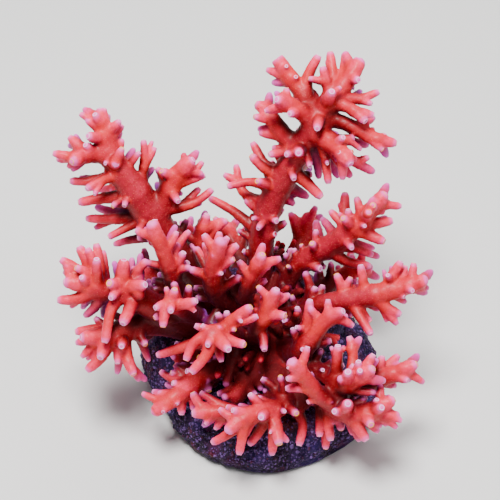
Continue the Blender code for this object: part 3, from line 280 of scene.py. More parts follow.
        (371, 210, 373, 205, 9, 4.5), (365, 218, 369, 212, 13, 4.7),
        (368, 213, 372.5, 198, -6, 3.6), (364, 218, 365.5, 206, -7, 3.2),
        (347, 234, 345, 212, 345, 192.5, -6, 4.9), (345, 214, 338.5, 203, -1, 3.1),
        (352, 230, 348, 209, 4, 4), (357, 227, 342.5, 218, 9, 4.3), (347, 221, 338.5, 213, -1, 2.8),
        (349, 231, 329.5, 210, -2, 3.8), (356, 227, 360, 209, -8, 3.2),
        (360, 224, 378, 223, 393, 220.5, -1, 4.9), (366, 222, 387, 217, -7, 3),
        (357, 228, 372, 236, 385, 242, 4, 5.1), (360, 225, 365, 226, 9, 2.9),
    ]},
    "right_low_arm": {"hidden": 3, "stem": [
        (284, 330, -28, 9.5), (305, 313, -19, 9.3), (330, 303, -11, 9), (356, 298, -5, 8.8),
        (378, 294, -1, 8.3),
    ], "twigs": [
        (366, 297, 363, 280, 360.5, 264.5, 3, 4.2), (345, 300, 341, 286, 336, 273.5, 3, 4.3),
        (307, 312, 310, 290, 305, 271, 1, 4.4), (372, 296, 388, 308, 401.5, 315, 3, 4.3),
        (382, 304, 397.5, 325, 0, 4.1), (380, 303, 387, 322, -2, 3.1),
        (354, 299, 362, 312, 371, 322, 2, 3.8), (350, 300, 362, 320, 371.5, 335, 9, 4.2),
        (294, 322, 286, 296, 281.5, 281, -1, 3.7), (299, 318, 291.5, 295, 3, 3.1),
    ]},
    "right_low_crown": {"hidden": 3, "stem": [
        (378, 294, -1, 8.1), (394, 290, 1, 7.2), (411, 285, 3, 5.8), (427, 279.5, 5, 4.8),
    ], "twigs": [
        (406, 287, 428.5, 288, -4, 3.9), (400, 288, 413.5, 273.5, -4, 3.7),
        (386, 292, 392, 277, 401.5, 261, 3, 4.8), (391, 280, 387.5, 275, 7, 3.4),
        (392, 276, 391, 266.5, -4, 3), (388, 286, 383.5, 270, -6, 2.8),
        (394, 290, 402.5, 276.5, -7, 3.2), (403, 287, 413, 291, 7, 3.5),
        (393, 291, 405, 297, 3, 3.9), (390, 292, 406, 302.5, -3, 3.7),
    ]},
    "front_fork": {"hidden": 2, "stem": [
        (282, 347, -16, 10), (297, 353, -2, 9.6), (307, 345, 7, 8.4), (318, 330, 12, 6.6),
        (330, 316, 16, 5.4), (344, 311, 20, 4),
    ], "twigs": [
        (305, 347, 298, 326, 299, 310, 310, 299.5, 8, 4.4), (299, 330, 296, 327, 5, 3.3),
        (305, 348, 302.5, 349.5, 8, 3.2), (328, 318, 328, 299, 0, 3.9),
        (328, 319, 347, 319.5, -3, 3.6), (310, 341, 309.5, 326, -8, 3.2),
    ]},
    "front_right_cluster": {"hidden": 3, "stem": [
        (292, 354, -14, 9.5), (314, 371, 1, 9.3), (333, 382, 11, 9), (348, 384, 18, 8),
        (359, 377, 23, 6.5), (374, 368, 28, 5),
    ], "twigs": [
        (336, 382, 337, 362, 338, 345, 7, 4.7), (337, 360, 331, 346.5, -2, 2.7),
        (338, 358, 345, 346, -2, 2.8), (350, 383, 353, 356, 349, 336, -3, 4.2),
        (351, 350, 360.5, 337.5, -4, 4.1), (357, 378, 358.5, 361, 6, 4),
        (359, 377, 374, 354, 1, 4.1), (362, 375, 377.5, 359.5, -6, 3.5),
        (349, 384, 348, 371.5, 13, 5.1), (360, 376, 360, 370.5, 8, 4),
        (346, 384, 340, 378, 10, 4.2), (347, 385, 360, 391, 376, 392.5, 3, 3.8),
        (318, 373, 323, 370, 9, 3), (312, 369, 321.5, 349, 5, 3.3),
    ]},
    "right_front_arm": {"hidden": 3, "stem": [
        (345, 387, 11, 8), (366, 384, 10, 7.8), (388, 376, 12, 7), (403, 370, 14, 5.6),
        (417.5, 363.5, 16, 4.7),
    ], "twigs": [
        (370, 382, 385, 368, 399, 355, -4, 4.2), (392, 374, 399, 362.5, -5, 3.1),
        (392, 375, 408.5, 381, 4, 4.2), (398, 372, 412.5, 375, -4, 2.8),
        (376, 381, 396, 386, -4, 3.9),
    ]},
    "low_right_cluster": {"hidden": 2, "stem": [
        (300, 364, -14, 9.5), (317, 386, 0, 9.3), (334, 404, 9, 9), (352, 414, 15, 8.5),
        (370, 412, 19, 7), (395, 398.5, 21, 5),
    ], "twigs": [
        (345, 410, 348, 403.5, 16, 5.3), (345, 410, 334, 411.5, 11, 4.6),
        (338, 406, 328, 400, 8, 4.1), (374, 410, 382, 407.5, 11, 4.4), (374, 410, 377, 399, 4, 3.8),
        (376, 409, 390, 396, -4, 4.1), (368, 413, 384, 415, 400, 415.5, -1, 5.1),
        (386, 416, 402.5, 421, 1, 3.5), (382, 416, 397, 428, -2, 3.6),
        (378, 416, 387, 426, -2, 3.2), (364, 413, 371.5, 425.5, 9, 4.7),
        (360, 414, 378.5, 432, -4, 3.9), (352, 414, 358, 427, 367, 441, 4, 5.3),
        (350, 414, 359.5, 441, -5, 4.1), (346, 412, 353, 435, -5, 3.5),
        (323, 392, 320, 412, 319.5, 437, 3, 4.3), (330, 400, 328, 420, 331, 441, 1, 4.5),
        (327, 397, 325.5, 449, -6, 4.3), (338, 407, 341, 430, -5, 4.6),
    ]},
    "front_leader": {"stem": [
        (335, 404, 11, 8), (318, 394, 17, 7.5), (304, 377, 24, 6.5), (290, 361, 30, 5.4),
    ], "twigs": [
        (302, 376, 286.5, 379, 3, 3.7), (312, 387, 296, 389, 2, 3.6),
        (320, 395, 307, 402.5, 2, 3.6), (306, 380, 303.5, 365.5, -4, 3),
        (314, 389, 311, 372.5, -4, 3), (293, 365, 287.5, 368, 3, 2.1),
    ]},
    "front_low_spray": {"hidden": 2, "stem": [
        (272, 364, -14, 9.5), (283, 387, -2, 9), (283, 403, 5, 8.6), (270, 411, 11, 8),
        (255, 413, 16, 7), (240, 421, 19, 5.7), (226, 432, 22, 4.9),
    ], "twigs": [
        (283, 401, 283, 388, 280, 375.5, 6, 3.5), (283, 398, 272, 386, 261, 378.5, 0, 4),
        (282, 396, 262, 398, 241, 390, -6, 3.8), (266, 411, 249.5, 394, 5, 4.2),
        (260, 412, 238, 404.5, -4, 2.7), (252, 414, 232, 410, 5, 4.2),
        (266, 412, 261, 417.5, 12, 4.4), (245, 418, 228, 434, 211.5, 443, -5, 4.5),
        (244, 419, 242, 438, 239, 455, -1, 4.6), (268, 412, 260, 430, 249, 445, -4, 4.4),
        (271, 411, 276, 430, 279.5, 445, 8, 5), (275, 426, 272, 455, -4, 4.4),
        (277, 430, 288, 441.5, -3, 3.5), (283, 402, 297, 414, 10, 4.3),
        (276, 408, 285, 411.5, 9, 2.8), (274, 424, 270, 433, 5, 2.3),
        (284, 398, 302, 420, 299, 446, 1, 4.4),
    ]},
    "front_low_left_spray": {"hidden": 1, "stem": [
        (256, 413, 9, 6.5), (236, 413, 8, 6), (212, 412, 8, 5.4), (191.5, 413.5, 9, 4.4),
    ], "twigs": [
        (238, 413, 217, 403, 200, 392, -3, 4.3), (212, 412, 204, 402.5, 0, 3.2),
        (214, 412, 205, 424.5, 1, 2.9), (236, 414, 217, 425.5, -6, 3.3),
    ]},
    "left_low_arm": {"hidden": 2, "stem": [
        (236, 350, -18, 9), (213, 370, -8, 8.8), (191, 386, -2, 8.3), (173, 399, 1, 7),
        (152, 413.5, 2, 5),
    ], "twigs": [
        (180, 394, 157.5, 393, 0, 3.7), (167, 403, 163, 412.5, 4, 3.2),
        (195, 385, 184, 372, 174, 364, -1, 3.8), (182, 393, 176.5, 404.5, 5, 2.8),
        (202, 381, 206, 388.5, 5, 4), (198, 384, 196, 396, 3, 4),
        (190, 388, 172, 379, 160, 371, -4, 3.7), (186, 390, 166, 384, -8, 4),
    ]},
    "back_left_limb": {"hidden": 5, "stem": [
        (238, 303, -40, 9), (216, 275, -43, 8.3), (193, 246, -44, 7), (178, 226, -44, 4.8),
    ], "twigs": [
        (195, 250, 195, 226, 3, 3.8), (205, 262, 186, 222, 4, 3.8), (185, 238, 181, 221, -3, 3.6),
    ]},
    "back_limb": {"hidden": 5, "stem": [
        (255, 298, -46, 10), (242, 265, -54, 9), (231, 238, -60, 7.4), (224, 222, -62, 4.8),
    ], "twigs": [
        (232, 242, 214, 217, 3, 3.8), (238, 256, 246, 226, -2, 3.8),
    ]},
    "back_right_limb": {"hidden": 5, "stem": [
        (274, 302, -46, 10), (291, 264, -50, 9), (304, 235, -52, 7.4), (309, 212, -52, 4.8),
    ], "twigs": [
        (305, 228, 316, 206, 3, 3.8), (300, 242, 290, 212, 2, 3.8), (297, 250, 322, 228, 2, 3.8),
    ]},
    "right_back_limb": {"hidden": 5, "stem": [
        (292, 314, -40, 9), (325, 288, -40, 8), (350, 272, -37, 6.6), (373, 267, -34, 4.4),
    ], "twigs": [
        (352, 272, 352, 254, 2, 3.6), (340, 278, 358, 282, 5, 3.6), (330, 285, 331, 262, 6, 3.6),
    ]},
    "left_back_limb": {"hidden": 5, "stem": [
        (220, 318, -34, 9), (184, 295, -33, 8), (156, 276, -30, 6.6), (136, 264, -28, 4.6),
    ], "twigs": [
        (160, 280, 147, 262, 6, 3.6), (175, 290, 168, 262, 4, 3.6),
    ]},
    "left_tower_back_arm": {"hidden": 6, "stem": [
        (160, 228, -12, 8.5), (142, 212, -25, 8), (124, 192, -33, 6.6), (112, 174, -37, 4.6),
    ], "twigs": [
        (130, 198, 110, 190, -3, 3.8), (136, 205, 138, 182, -2, 3.8),
    ]},
    "right_tower_back_arm": {"hidden": 7, "stem": [
        (282, 180, -9, 9), (300, 162, -25, 8.3), (315, 140, -35, 6.8), (325, 120, -39, 4.6),
    ], "twigs": [
        (312, 146, 334, 138, -3, 3.8), (306, 152, 298, 128, -3, 3.8),
    ]},
}

# Short sprays that grow from the foot, in the shade between the limbs. They belong to the foot.
floorSprays = {
    "floor_left_spray": {"stem": [
        (238, 350, -24, 8), (229, 361, -10, 7.5), (221, 372, -1, 5.6),
    ], "twigs": [
        (228, 362, 213, 357, 5, 4.2), (224, 368, 233, 385, 4, 4), (221, 371, 205, 381, 2, 4),
        (231, 359, 245, 371, 5, 4), (232, 357, 226, 346, 8, 4.2),
    ]},
    "floor_far_left_spray": {"stem": [
        (238, 344, -30, 10), (212, 346, -20, 9.5), (190, 350, -12, 8), (172, 356, -7, 6),
    ], "twigs": [
        (205, 347, 203, 334, 6, 4.2), (196, 349, 192, 365, 4, 4.4), (186, 351, 176, 343, 5, 4.2),
        (180, 353, 181, 369, 3, 4.2), (218, 346, 222, 361, 6, 4.4),
    ]},
    "floor_middle_spray": {"stem": [
        (260, 350, -24, 8), (258, 366, -10, 7.5), (254, 380, -3, 5.6),
    ], "twigs": [
        (257, 366, 270, 374, 6, 4.2), (255, 374, 243, 387, 4, 4), (258, 362, 247, 355, 8, 4.2),
        (259, 358, 270, 352, 8, 4.2), (255, 376, 262, 391, 3, 4),
    ]},
    "floor_right_spray": {"stem": [
        (284, 340, -30, 8), (293, 331, -18, 7.5), (301, 321, -9, 5.6),
    ], "twigs": [
        (294, 330, 284, 320, 7, 4.2), (299, 324, 312, 326, 4, 4), (300, 322, 297, 307, 4, 4),
        (290, 334, 301, 342, 6, 4.2), (288, 336, 276, 330, 6, 4),
    ]},
    "floor_front_left_spray": {"stem": [
        (236, 350, -22, 10), (214, 366, -8, 9.5), (195, 381, -2, 8.5), (180, 392, 1, 6),
    ], "twigs": [
        (204, 374, 186, 371, 5, 4.4), (206, 373, 209, 392, 5, 4.4), (196, 381, 195, 398, 4, 4.2),
        (218, 363, 198, 357, 7, 4.2), (188, 386, 172, 383, 3, 4.2), (222, 360, 226, 378, 7, 4.4),
    ]},
    "floor_front_spray": {"stem": [
        (250, 352, -22, 10), (246, 372, -7, 9.5), (240, 390, 0, 8), (233, 403, 3, 6),
    ], "twigs": [
        (245, 376, 228, 384, 5, 4.4), (243, 384, 256, 396, 5, 4.4), (238, 394, 222, 398, 4, 4.2),
        (247, 368, 262, 375, 7, 4.2), (247, 366, 233, 366, 8, 4.2),
    ]},
    "floor_front_right_spray": {"stem": [
        (270, 356, -20, 10), (275, 376, -6, 9), (278, 394, 1, 7.5), (281, 408, 3, 5.6),
    ], "twigs": [
        (276, 382, 264, 393, 5, 4.2), (278, 392, 292, 402, 4, 4.2), (275, 374, 290, 381, 6, 4.2),
        (279, 400, 268, 410, 4, 4), (272, 366, 259, 366, 8, 4.2),
    ]},
    "floor_fork_spray": {"stem": [
        (290, 358, -20, 10), (298, 378, -5, 9), (303, 394, 1, 7.5), (305, 408, 4, 5.6),
    ], "twigs": [
        (300, 386, 288, 396, 5, 4.2), (304, 396, 317, 404, 4, 4.2), (297, 376, 314, 380, 6, 4.2),
        (304, 402, 296, 415, 3, 4), (294, 368, 284, 372, 8, 4.2),
    ]},
}
brokenTips = ["right_tower_upper_arm"]  # these end in a flat break

# How branches grow: along the traced routes, with guessed fingers on the sides that aren't seen.
growth = {
    "seed": 41,
    "plump": 1.06,  # traced branches are this much thicker than they were drawn
    "rootSwell": 0.5,  # a long finger is this much thicker at its foot
    "longFinger": 12 * millimetre,
    "thinStem": 3.1 * millimetre,  # fingers on stems thinner than this are thinner too
    "thinShare": 0.92,
    "tipShrink": 0.78,
    "bendLean": 0.55,  # share of the lean that a finger has at its bend
    "curveStep": 3.0 * millimetre,
    "roundEnd": 0.85,  # most of its last step that a branch's round end takes
    "floorRoom": 2 * millimetre,
    "hiddenFirst": 0.3,  # where along a stem the guessed fingers start and end
    "hiddenLast": 0.94,
    "hiddenLength": 11.5 * millimetre,
    "hiddenWidth": 4.2 * millimetre,
    "hiddenSwell": 0.7,  # share of the swelling at the foot that these have
    "hiddenTurns": [52, -44, 6],
    "hiddenAway": np.array([0, 0.8, -0.6]),
    "hiddenForward": 0.55,
    "sideTurns": [74, -70, 84, -62, 66, -80],  # thinner fingers at the sides, between the others
    "sideSpacing": 12 * millimetre,
    "sideLength": [5.5 * millimetre, 8.5 * millimetre],
    "sideWidth": [3.3 * millimetre, 4.2 * millimetre],
    "sideShape": [1.35, 1.1, 0.85],  # shares of the width at foot, middle and tip
    "sideStray": 0.5,  # mm, at the middle
    "plainArms": [  # these have no thinner fingers
        "right_tower_crown", "right_tower_long_arm", "right_tower_upper_arm",
        "right_tower_left_arm", "right_tower_front_arm", "right_tower_low_arm",
        "left_tower_left_arm",
    ],
    "budSpacing": 9 * millimetre,  # fingers that have only begun
    "budLength": [1.2 * millimetre, 4.0 * millimetre],
    "budWidth": 2.9 * millimetre,
    "budFoot": 1.2,
    "budTurns": [-65, 65],
    "budForward": 0.3,
}


def photoPoint(xPixel, yPixel, toward):
    scale = photo["pixelSize"] * (1 - toward / photo["distance"])
    right = (xPixel - photo["middle"]) * scale
    top = (photo["middle"] - yPixel) * scale
    return photo["focus"] + toRight * right + toTop * top + toViewer * toward


def pixelOf(place):
    offset = place - photo["focus"]
    scale = photo["pixelSize"] * (1 - offset.dot(toViewer) / photo["distance"])
    middle = photo["middle"]
    return middle + offset.dot(toRight) / scale, middle - offset.dot(toTop) / scale


def nearestOnAxes(axes, xPixel, yPixel):
    best = None
    for axis in axes:
        for start, end in zip(axis, axis[1:]):
            run = (end[0] - start[0], end[1] - start[1])
            length = max(run[0] ** 2 + run[1] ** 2, 1e-9)
            share = ((xPixel - start[0]) * run[0] + (yPixel - start[1]) * run[1]) / length
            share = min(max(share, 0), 1)
            point = [a + (b - a) * share for a, b in zip(start, end)]
            gap = math.hypot(point[0] - xPixel, point[1] - yPixel)
            if best is None or gap < best[0]:
                best = (gap, point)
    return best[1]


# A twig's axis, in the same four numbers as a stem's, and the width of what it grows from.
def tracedTwig(axes, twig):
    *pixels, lean, width = twig
    root = nearestOnAxes(axes, pixels[0], pixels[1])
    axis = [(root[0], root[1], root[2], width)]
    if len(pixels) == 6:
        axis.append((pixels[2], pixels[3], root[2] + lean * growth["bendLean"], width))
    axis.append((pixels[-2], pixels[-1], root[2] + lean, width))
    return axis, root[3]


def inMetres(axis):
    points = [photoPoint(x, y, toward * millimetre) for x, y, toward, width in axis]
    radii = [width * millimetre / 2 * growth["plump"] for x, y, toward, width in axis]
    return points, radii


# A Catmull-Rom curve through the points, with its radii, at about one point a step.
def smoothPath(points, radii, step):
    both = np.column_stack([np.array(points, float), np.array(radii, float)])
    padded = np.vstack([2 * both[0] - both[1], both, 2 * both[-1] - both[-2]])
    path = []
    for i in range(1, len(padded) - 2):
        p0, p1, p2, p3 = padded[i - 1:i + 3]
        count = max(1, int(round(np.linalg.norm(p2[:3] - p1[:3]) / step)))
        for t in np.arange(count) / count:
            path.append(0.5 * (2 * p1 + (p2 - p0) * t + (2 * p0 - 5 * p1 + 4 * p2 - p3) * t ** 2
                               + (3 * p1 - p0 - 3 * p2 + p3) * t ** 3))
    path.append(both[-1])
    path = np.array(path)
    return path[:, :3], path[:, 3]


# One branch. Its axis stops a radius short of the tip, where its round end begins.
def makeBranch(node, points, radii, kind, host=0.0, blunt=False):
    points, radii = smoothPath(points, radii, growth["curveStep"])
    tip = points[-1].copy()
    run = points[-1] - points[-2]
    length = np.linalg.norm(run)
    direction = run / max(length, 1e-9)
    if not blunt:
        points[-1] = tip - direction * min(radii[-1], length * growth["roundEnd"])
    steps = np.linalg.norm(np.diff(points, axis=0), axis=1)
    return {
        "node": node, "kind": kind, "host": host, "blunt": blunt, "points": points, "radii": radii,
        "tip": tip, "direction": direction, "reach": np.concatenate([[0], np.cumsum(steps)]),
    }


# Roots and tips of fingers on the side of a stem that the photograph doesn't show.
def farSideFingers(stem, count, turns, length, forward):
    steps = np.linalg.norm(np.diff(stem, axis=0), axis=1)
    total = steps.sum()
    first, last, behind = growth["hiddenFirst"], growth["hiddenLast"], growth["hiddenAway"]
    for i in range(count):
        left = (first + (last - first) * (i + 0.5) / count) * total
        piece = 0
        while piece < len(steps) - 1 and left > steps[piece]:
            left -= steps[piece]
            piece += 1
        along = (stem[piece + 1] - stem[piece]) / steps[piece]
        root = stem[piece] + along * left
        away = behind - along * behind.dot(along)
        away /= np.linalg.norm(away)
        side = np.cross(along, away)
        turn = math.radians(turns[i % len(turns)])
        direction = away * math.cos(turn) + side * math.sin(turn) + along * forward
        direction /= np.linalg.norm(direction)
        tip = root + direction * (length if np.isscalar(length) else length[i])
        if tip[2] > growth["floorRoom"]:
            yield root, tip


def tracedFingers(node, limb):
    axes = [limb["stem"]]
    fingers = []
    for twig in limb["twigs"]:
        axis, rootWidth = tracedTwig(axes, twig)
        axes.append(axis)
        points, sizes = inMetres(axis)
        host = rootWidth * millimetre / 2
        visible = np.linalg.norm(points[-1] - points[0]) - host
        sizes[0] *= 1 + growth["rootSwell"] * min(max(visible / growth["longFinger"], 0), 1)
        sizes[-1] *= growth["tipShrink"]
        if host < growth["thinStem"]:
            sizes = [size * growth["thinShare"] for size in sizes]
        fingers.append(makeBranch(node, points, sizes, "finger", host))
    return fingers


# Fingers on the far side of a stem, thinner ones at its sides, and buds.
def guessedFingers(node, stem, host, hidden, plain, dice):
    fingers = []
    forward = growth["hiddenForward"]
    radius = growth["hiddenWidth"] / 2
    foot = radius * (1 + growth["rootSwell"] * growth["hiddenSwell"])
    sizes = [foot, radius * growth["tipShrink"]]
    turns, length = growth["hiddenTurns"], growth["hiddenLength"]
    for root, tip in farSideFingers(stem, hidden, turns, length, forward):
        fingers.append(makeBranch(node, [root, tip], sizes, "finger", host))

    total = np.linalg.norm(np.diff(stem, axis=0), axis=1).sum()
    count = 0 if plain else int(total / growth["sideSpacing"])
    lengths = host + dice.uniform(*growth["sideLength"], count)
    for root, tip in farSideFingers(stem, count, growth["sideTurns"], lengths, forward):
        middle = (root + tip) / 2 + dice.normal(0, growth["sideStray"], 3) * millimetre
        width = dice.uniform(*growth["sideWidth"]) / 2
        sizes = [width * share for share in growth["sideShape"]]
        fingers.append(makeBranch(node, [root, middle, tip], sizes, "finger", host))

    count = int(total / growth["budSpacing"])
    lengths = host + dice.uniform(*growth["budLength"], count)
    turns = dice.uniform(*growth["budTurns"], max(count, 1))
    sizes = [growth["budWidth"] / 2 * growth["budFoot"], growth["budWidth"] / 2]
    for root, tip in farSideFingers(stem, count, turns, lengths, growth["budForward"]):
        fingers.append(makeBranch(node, [root, tip], sizes, "bud", host))
    return fingers


# Young fingers that stand on the foot, between the limbs.
sprouts = {
    "number": 56,
    "spread": 0.93,  # share of the foot's radius that they cover
    "turn": 2.4,  # radians from one to the next, which spreads them evenly
    "turnStray": 0.3,
    "rootHeight": 0.9,  # share of the foot's height at their place
    "length": [9 * millimetre, 21 * millimetre],
    "width": [3.0 * millimetre, 4.3 * millimetre],
    "shape": [1.3, 1.05, 0.85],  # shares of the width at foot, middle and tip
    "outward": (0.35, 1.1),  # at the middle of the foot, and more toward its edge
    "upward": (0.45, 0.5),  # at its edge, and more toward its middle
    "leanStray": 0.32,
    "middleStray": 0.5,  # mm
    "sunk": 2 * millimetre,
    "host": 2.5 * millimetre,
    "forked": 0.55,  # chance of a short finger on each side
    "forkLean": 0.7,
    "forkLength": (0.35, 0.5),  # shares of the length
    "forkTip": 0.8,
    "bareSpots": [(309, 286, 22), (350, 333, 22)],  # none within so many pixels of these
}


def footSprouts(dice):
    grown = []
    for i in range(sprouts["number"]):
        turn = sprouts["turn"] * i + dice.uniform(-sprouts["turnStray"], sprouts["turnStray"])
        out = math.sqrt((i + 0.5) / sprouts["number"]) * sprouts["spread"]
        flat = np.array([math.cos(turn), math.sin(turn), 0])
        height = math.sqrt(1 - out ** 2)
        place = flat * out + np.array([0, 0, height * sprouts["rootHeight"]])
        root = skin["footCentre"] + skin["footRadii"] * place
        across, down = pixelOf(root)
        if any(math.hypot(across - x, down - y) < size for x, y, size in sprouts["bareSpots"]):
            continue
        outward = sprouts["outward"][0] + sprouts["outward"][1] * out
        upward = sprouts["upward"][0] + sprouts["upward"][1] * height
        direction = flat * outward + np.array([0, 0, upward])
        direction = direction + dice.normal(0, sprouts["leanStray"], 3)
        direction /= np.linalg.norm(direction)
        length = dice.uniform(*sprouts["length"])
        stray = dice.normal(0, sprouts["middleStray"], 3) * millimetre
        middle = root + direction * length * 0.5 + stray
        width = dice.uniform(*sprouts["width"]) / 2
        points = [root - direction * sprouts["sunk"], middle, root + direction * length]
        sizes = [width * share for share in sprouts["shape"]]
        grown.append(makeBranch("coral_foot", points, sizes, "sprout", sprouts["host"]))
        for side in (1, -1):
            if dice.random() > sprouts["forked"]:
                continue
            across = np.cross(direction, dice.normal(0, 1, 3))
            lean = direction * sprouts["forkLean"] + across / np.linalg.norm(across) * side
            lean /= np.linalg.norm(lean)
            tip = middle + lean * length * dice.uniform(*sprouts["forkLength"])
            sizes = [width, width * sprouts["forkTip"]]
            grown.append(makeBranch("coral_foot", [middle, tip], sizes, "sprout", width))
    return grown


def growColony():
    branches = []
    dice = np.random.default_rng(growth["seed"])
    for name, limb in {**limbs, **floorSprays}.items():
        node = "coral_foot" if name in floorSprays else name
        points, radii = inMetres(limb["stem"])
        stem = np.array(points)
        branches.append(makeBranch(node, stem, radii, "stem", max(radii), node in brokenTips))
        branches += tracedFingers(node, limb)
        plain = name in growth["plainArms"]
        branches += guessedFingers(node, stem, np.mean(radii), limb.get("hidden", 0), plain, dice)
    return branches + footSprouts(dice)


# The skin: one distance field for the whole colony, meshed once and then cut at the forks.
skin = {
    "step": 0.7 * millimetre,
    "quickStep": 1.1 * millimetre,
    "margin": 5.5 * millimetre,
    "stemBlend": 3.4 * millimetre,  # how softly stems run into each other
    "rootBlend": [0.9 * millimetre, 3.6 * millimetre],  # and fingers into stems, within these
    "rootBlendShare": 0.54,  # of the stem's radius
    "budBlend": 1.2 * millimetre,
    "tipBlend": 0.5 * millimetre,  # how close two tips may come before they join
    "blendFrom": 0.7,  # share of the stem's radius where the soft root starts
    "blendReach": 3.6 * millimetre,  # and how far out it goes
    "waver": 0.09 * millimetre,
    "waverLengths": [7.3 * millimetre, 4.9 * millimetre, 3.1 * millimetre],
    "relaxRounds": 2,
    "leastSlope": 0.05,  # where the field is flat, between branches
    "footCentre": np.array([-2, 9, 30]) * millimetre,
    "footRadii": np.array([37, 39, 12.5]) * millimetre,
    "footFloor": 27 * millimetre,
    "footWaves": [(3, 0.07, 0.6), (5, 0.05, 2.1), (9, 0.03, 0)],  # waves, height and start
    "footRoom": 1.3,
    "crowdCell": 3,  # field cells in one crowding cell
    "crowdRooms": [  # mm that each looks, and the shares of coral that count as open and full
        {"reach": 6, "ahead": 7, "open": 0.04, "full": 0.33, "weight": 0.75},
        {"reach": 17, "ahead": 12, "open": 0.09, "full": 0.24, "weight": 0.6},
    ],
}


def smoothMin(a, b, reach):
    h = np.maximum(reach - np.abs(a - b), 0) / reach
    return np.minimum(a, b) - h * h * reach * 0.25


# Distance to a branch's surface, and how far along its axis the nearest point lies.
def branchDistance(places, branch):
    best = None
    points, radii, reaches = branch["points"], branch["radii"], branch["reach"]
    for i in range(len(points) - 1):
        run = points[i + 1] - points[i]
        length = max(run.dot(run), 1e-14)
        offset = places - points[i]
        share = np.clip(offset @ run.astype(np.float32) / length, 0, 1)
        away = offset - share[..., None] * run.astype(np.float32)
        radius = radii[i] + (radii[i + 1] - radii[i]) * share
        gap = np.sqrt(np.einsum("...i,...i->...", away, away)) - radius
        reach = reaches[i] + (reaches[i + 1] - reaches[i]) * share
        if best is None:
            best, along = gap, reach
        else:
            closer = gap < best
            best = np.where(closer, gap, best)
            along = np.where(closer, reach, along)
    if branch["blunt"]:
        end = (places - points[-1]) @ branch["direction"].astype(np.float32)
        best = np.maximum(best, end)
    return best, along


# Distance to the foot: a dome with a wavy rim, cut off flat below.
def footDistance(places):
    local = (places - skin["footCentre"]).astype(np.float32)
    angle = np.arctan2(local[..., 1], local[..., 0])
    swell = 1
    for waves, height, start in skin["footWaves"]:
        swell = swell + height * np.sin(waves * angle + start)
    local[..., 0] /= swell
    local[..., 1] /= swell
    k0 = np.sqrt(((local / skin["footRadii"]) ** 2).sum(-1))
    k1 = np.sqrt(((local / skin["footRadii"] ** 2) ** 2).sum(-1)) + 1e-6
    dome = k0 * (k0 - 1) / k1
    return np.maximum(dome, skin["footFloor"] - places[..., 2])


# A slight unevenness of the skin, in metres.
def waver(places):
    total = 0
    for i, length in enumerate(skin["waverLengths"]):
        turn = 2 * math.pi / length
        x, y, z = [places[..., axis] * turn for axis in range(3)]
        total = total + np.sin(x + i) * np.sin(y * 0.9 + 2 * i) * np.sin(z * 1.1 + 3 * i)
    return total * skin["waver"]


# How softly a branch runs into what is there already, at each place.
def blendAt(branch, along):
    if branch["kind"] == "stem":
        return skin["stemBlend"]
    ease = np.clip((along - branch["host"] * skin["blendFrom"]) / skin["blendReach"], 0, 1)
    ease = ease * ease * (3 - 2 * ease)
    soft = np.clip(branch["host"] * skin["rootBlendShare"], *skin["rootBlend"])
    if branch["kind"] == "bud":
        soft = skin["budBlend"]
    return soft + (skin["tipBlend"] - soft) * ease


# The field on a grid, and for each cell the branch that it belongs to.
def makeField(branches, step):
    ends = np.vstack([b["points"] for b in branches])
    low = np.minimum(ends.min(0), skin["footCentre"] - skin["footRadii"]) - 3 * skin["margin"]
    high = np.maximum(ends.max(0), skin["footCentre"] + skin["footRadii"]) + 3 * skin["margin"]
    low[2] = max(low[2], 0)
    shape = np.ceil((high - low) / step).astype(int)
    field = np.full(shape, 1.0, np.float32)
    owner = np.full(shape, -1, np.int16)
    nearest = np.full(shape, 1.0, np.float32)

    def region(lowest, highest):
        a = np.maximum(np.floor((lowest - low) / step).astype(int), 0)
        b = np.minimum(np.ceil((highest - low) / step).astype(int) + 1, shape)
        window = tuple(slice(a[i], b[i]) for i in range(3))
        axes = [low[i] + np.arange(a[i], b[i]) * step for i in range(3)]
        places = np.stack(np.meshgrid(*axes, indexing="ij"), -1).astype(np.float32)
        return window, places

    room = skin["footRadii"] * skin["footRoom"]
    window, places = region(skin["footCentre"] - room - skin["margin"],
                            skin["footCentre"] + room + skin["margin"])
    field[window] = footDistance(places)
    owner[window] = len(branches)
    nearest[window] = field[window]

    for i in sorted(range(len(branches)), key=lambda i: branches[i]["kind"] != "stem"):
        branch = branches[i]
        reach = branch["radii"].max() + skin["margin"]
        window, places = region(branch["points"].min(0) - reach, branch["points"].max(0) + reach)
        gap, along = branchDistance(places, branch)
        blended = smoothMin(field[window], gap, blendAt(branch, along))
        field[window] = np.where(gap < skin["margin"], blended, field[window])
        closer = gap < nearest[window]
        owner[window] = np.where(closer, i, owner[window])
        nearest[window] = np.minimum(nearest[window], gap)
    return field, owner, low


# Trilinear value of a grid at the places.
def sample(field, low, step, places):
    at = (places - low) / step
    base = np.clip(np.floor(at).astype(int), 0, np.array(field.shape) - 2)
    part = at - base
    total = 0
    for dx in (0, 1):
        wx = part[:, 0] if dx else 1 - part[:, 0]
        for dy in (0, 1):
            wy = part[:, 1] if dy else 1 - part[:, 1]
            for dz in (0, 1):
                wz = part[:, 2] if dz else 1 - part[:, 2]
                value = field[base[:, 0] + dx, base[:, 1] + dy, base[:, 2] + dz]
                total = total + value * wx * wy * wz
    return total


# The field's gradient at the places.
def slope(field, low, step, places):
    columns = []
    for axis in range(3):
        shift = np.zeros(3)
        shift[axis] = step
        ahead = sample(field, low, step, places + shift)
        columns.append(ahead - sample(field, low, step, places - shift))
    return np.stack(columns, -1) / (2 * step)


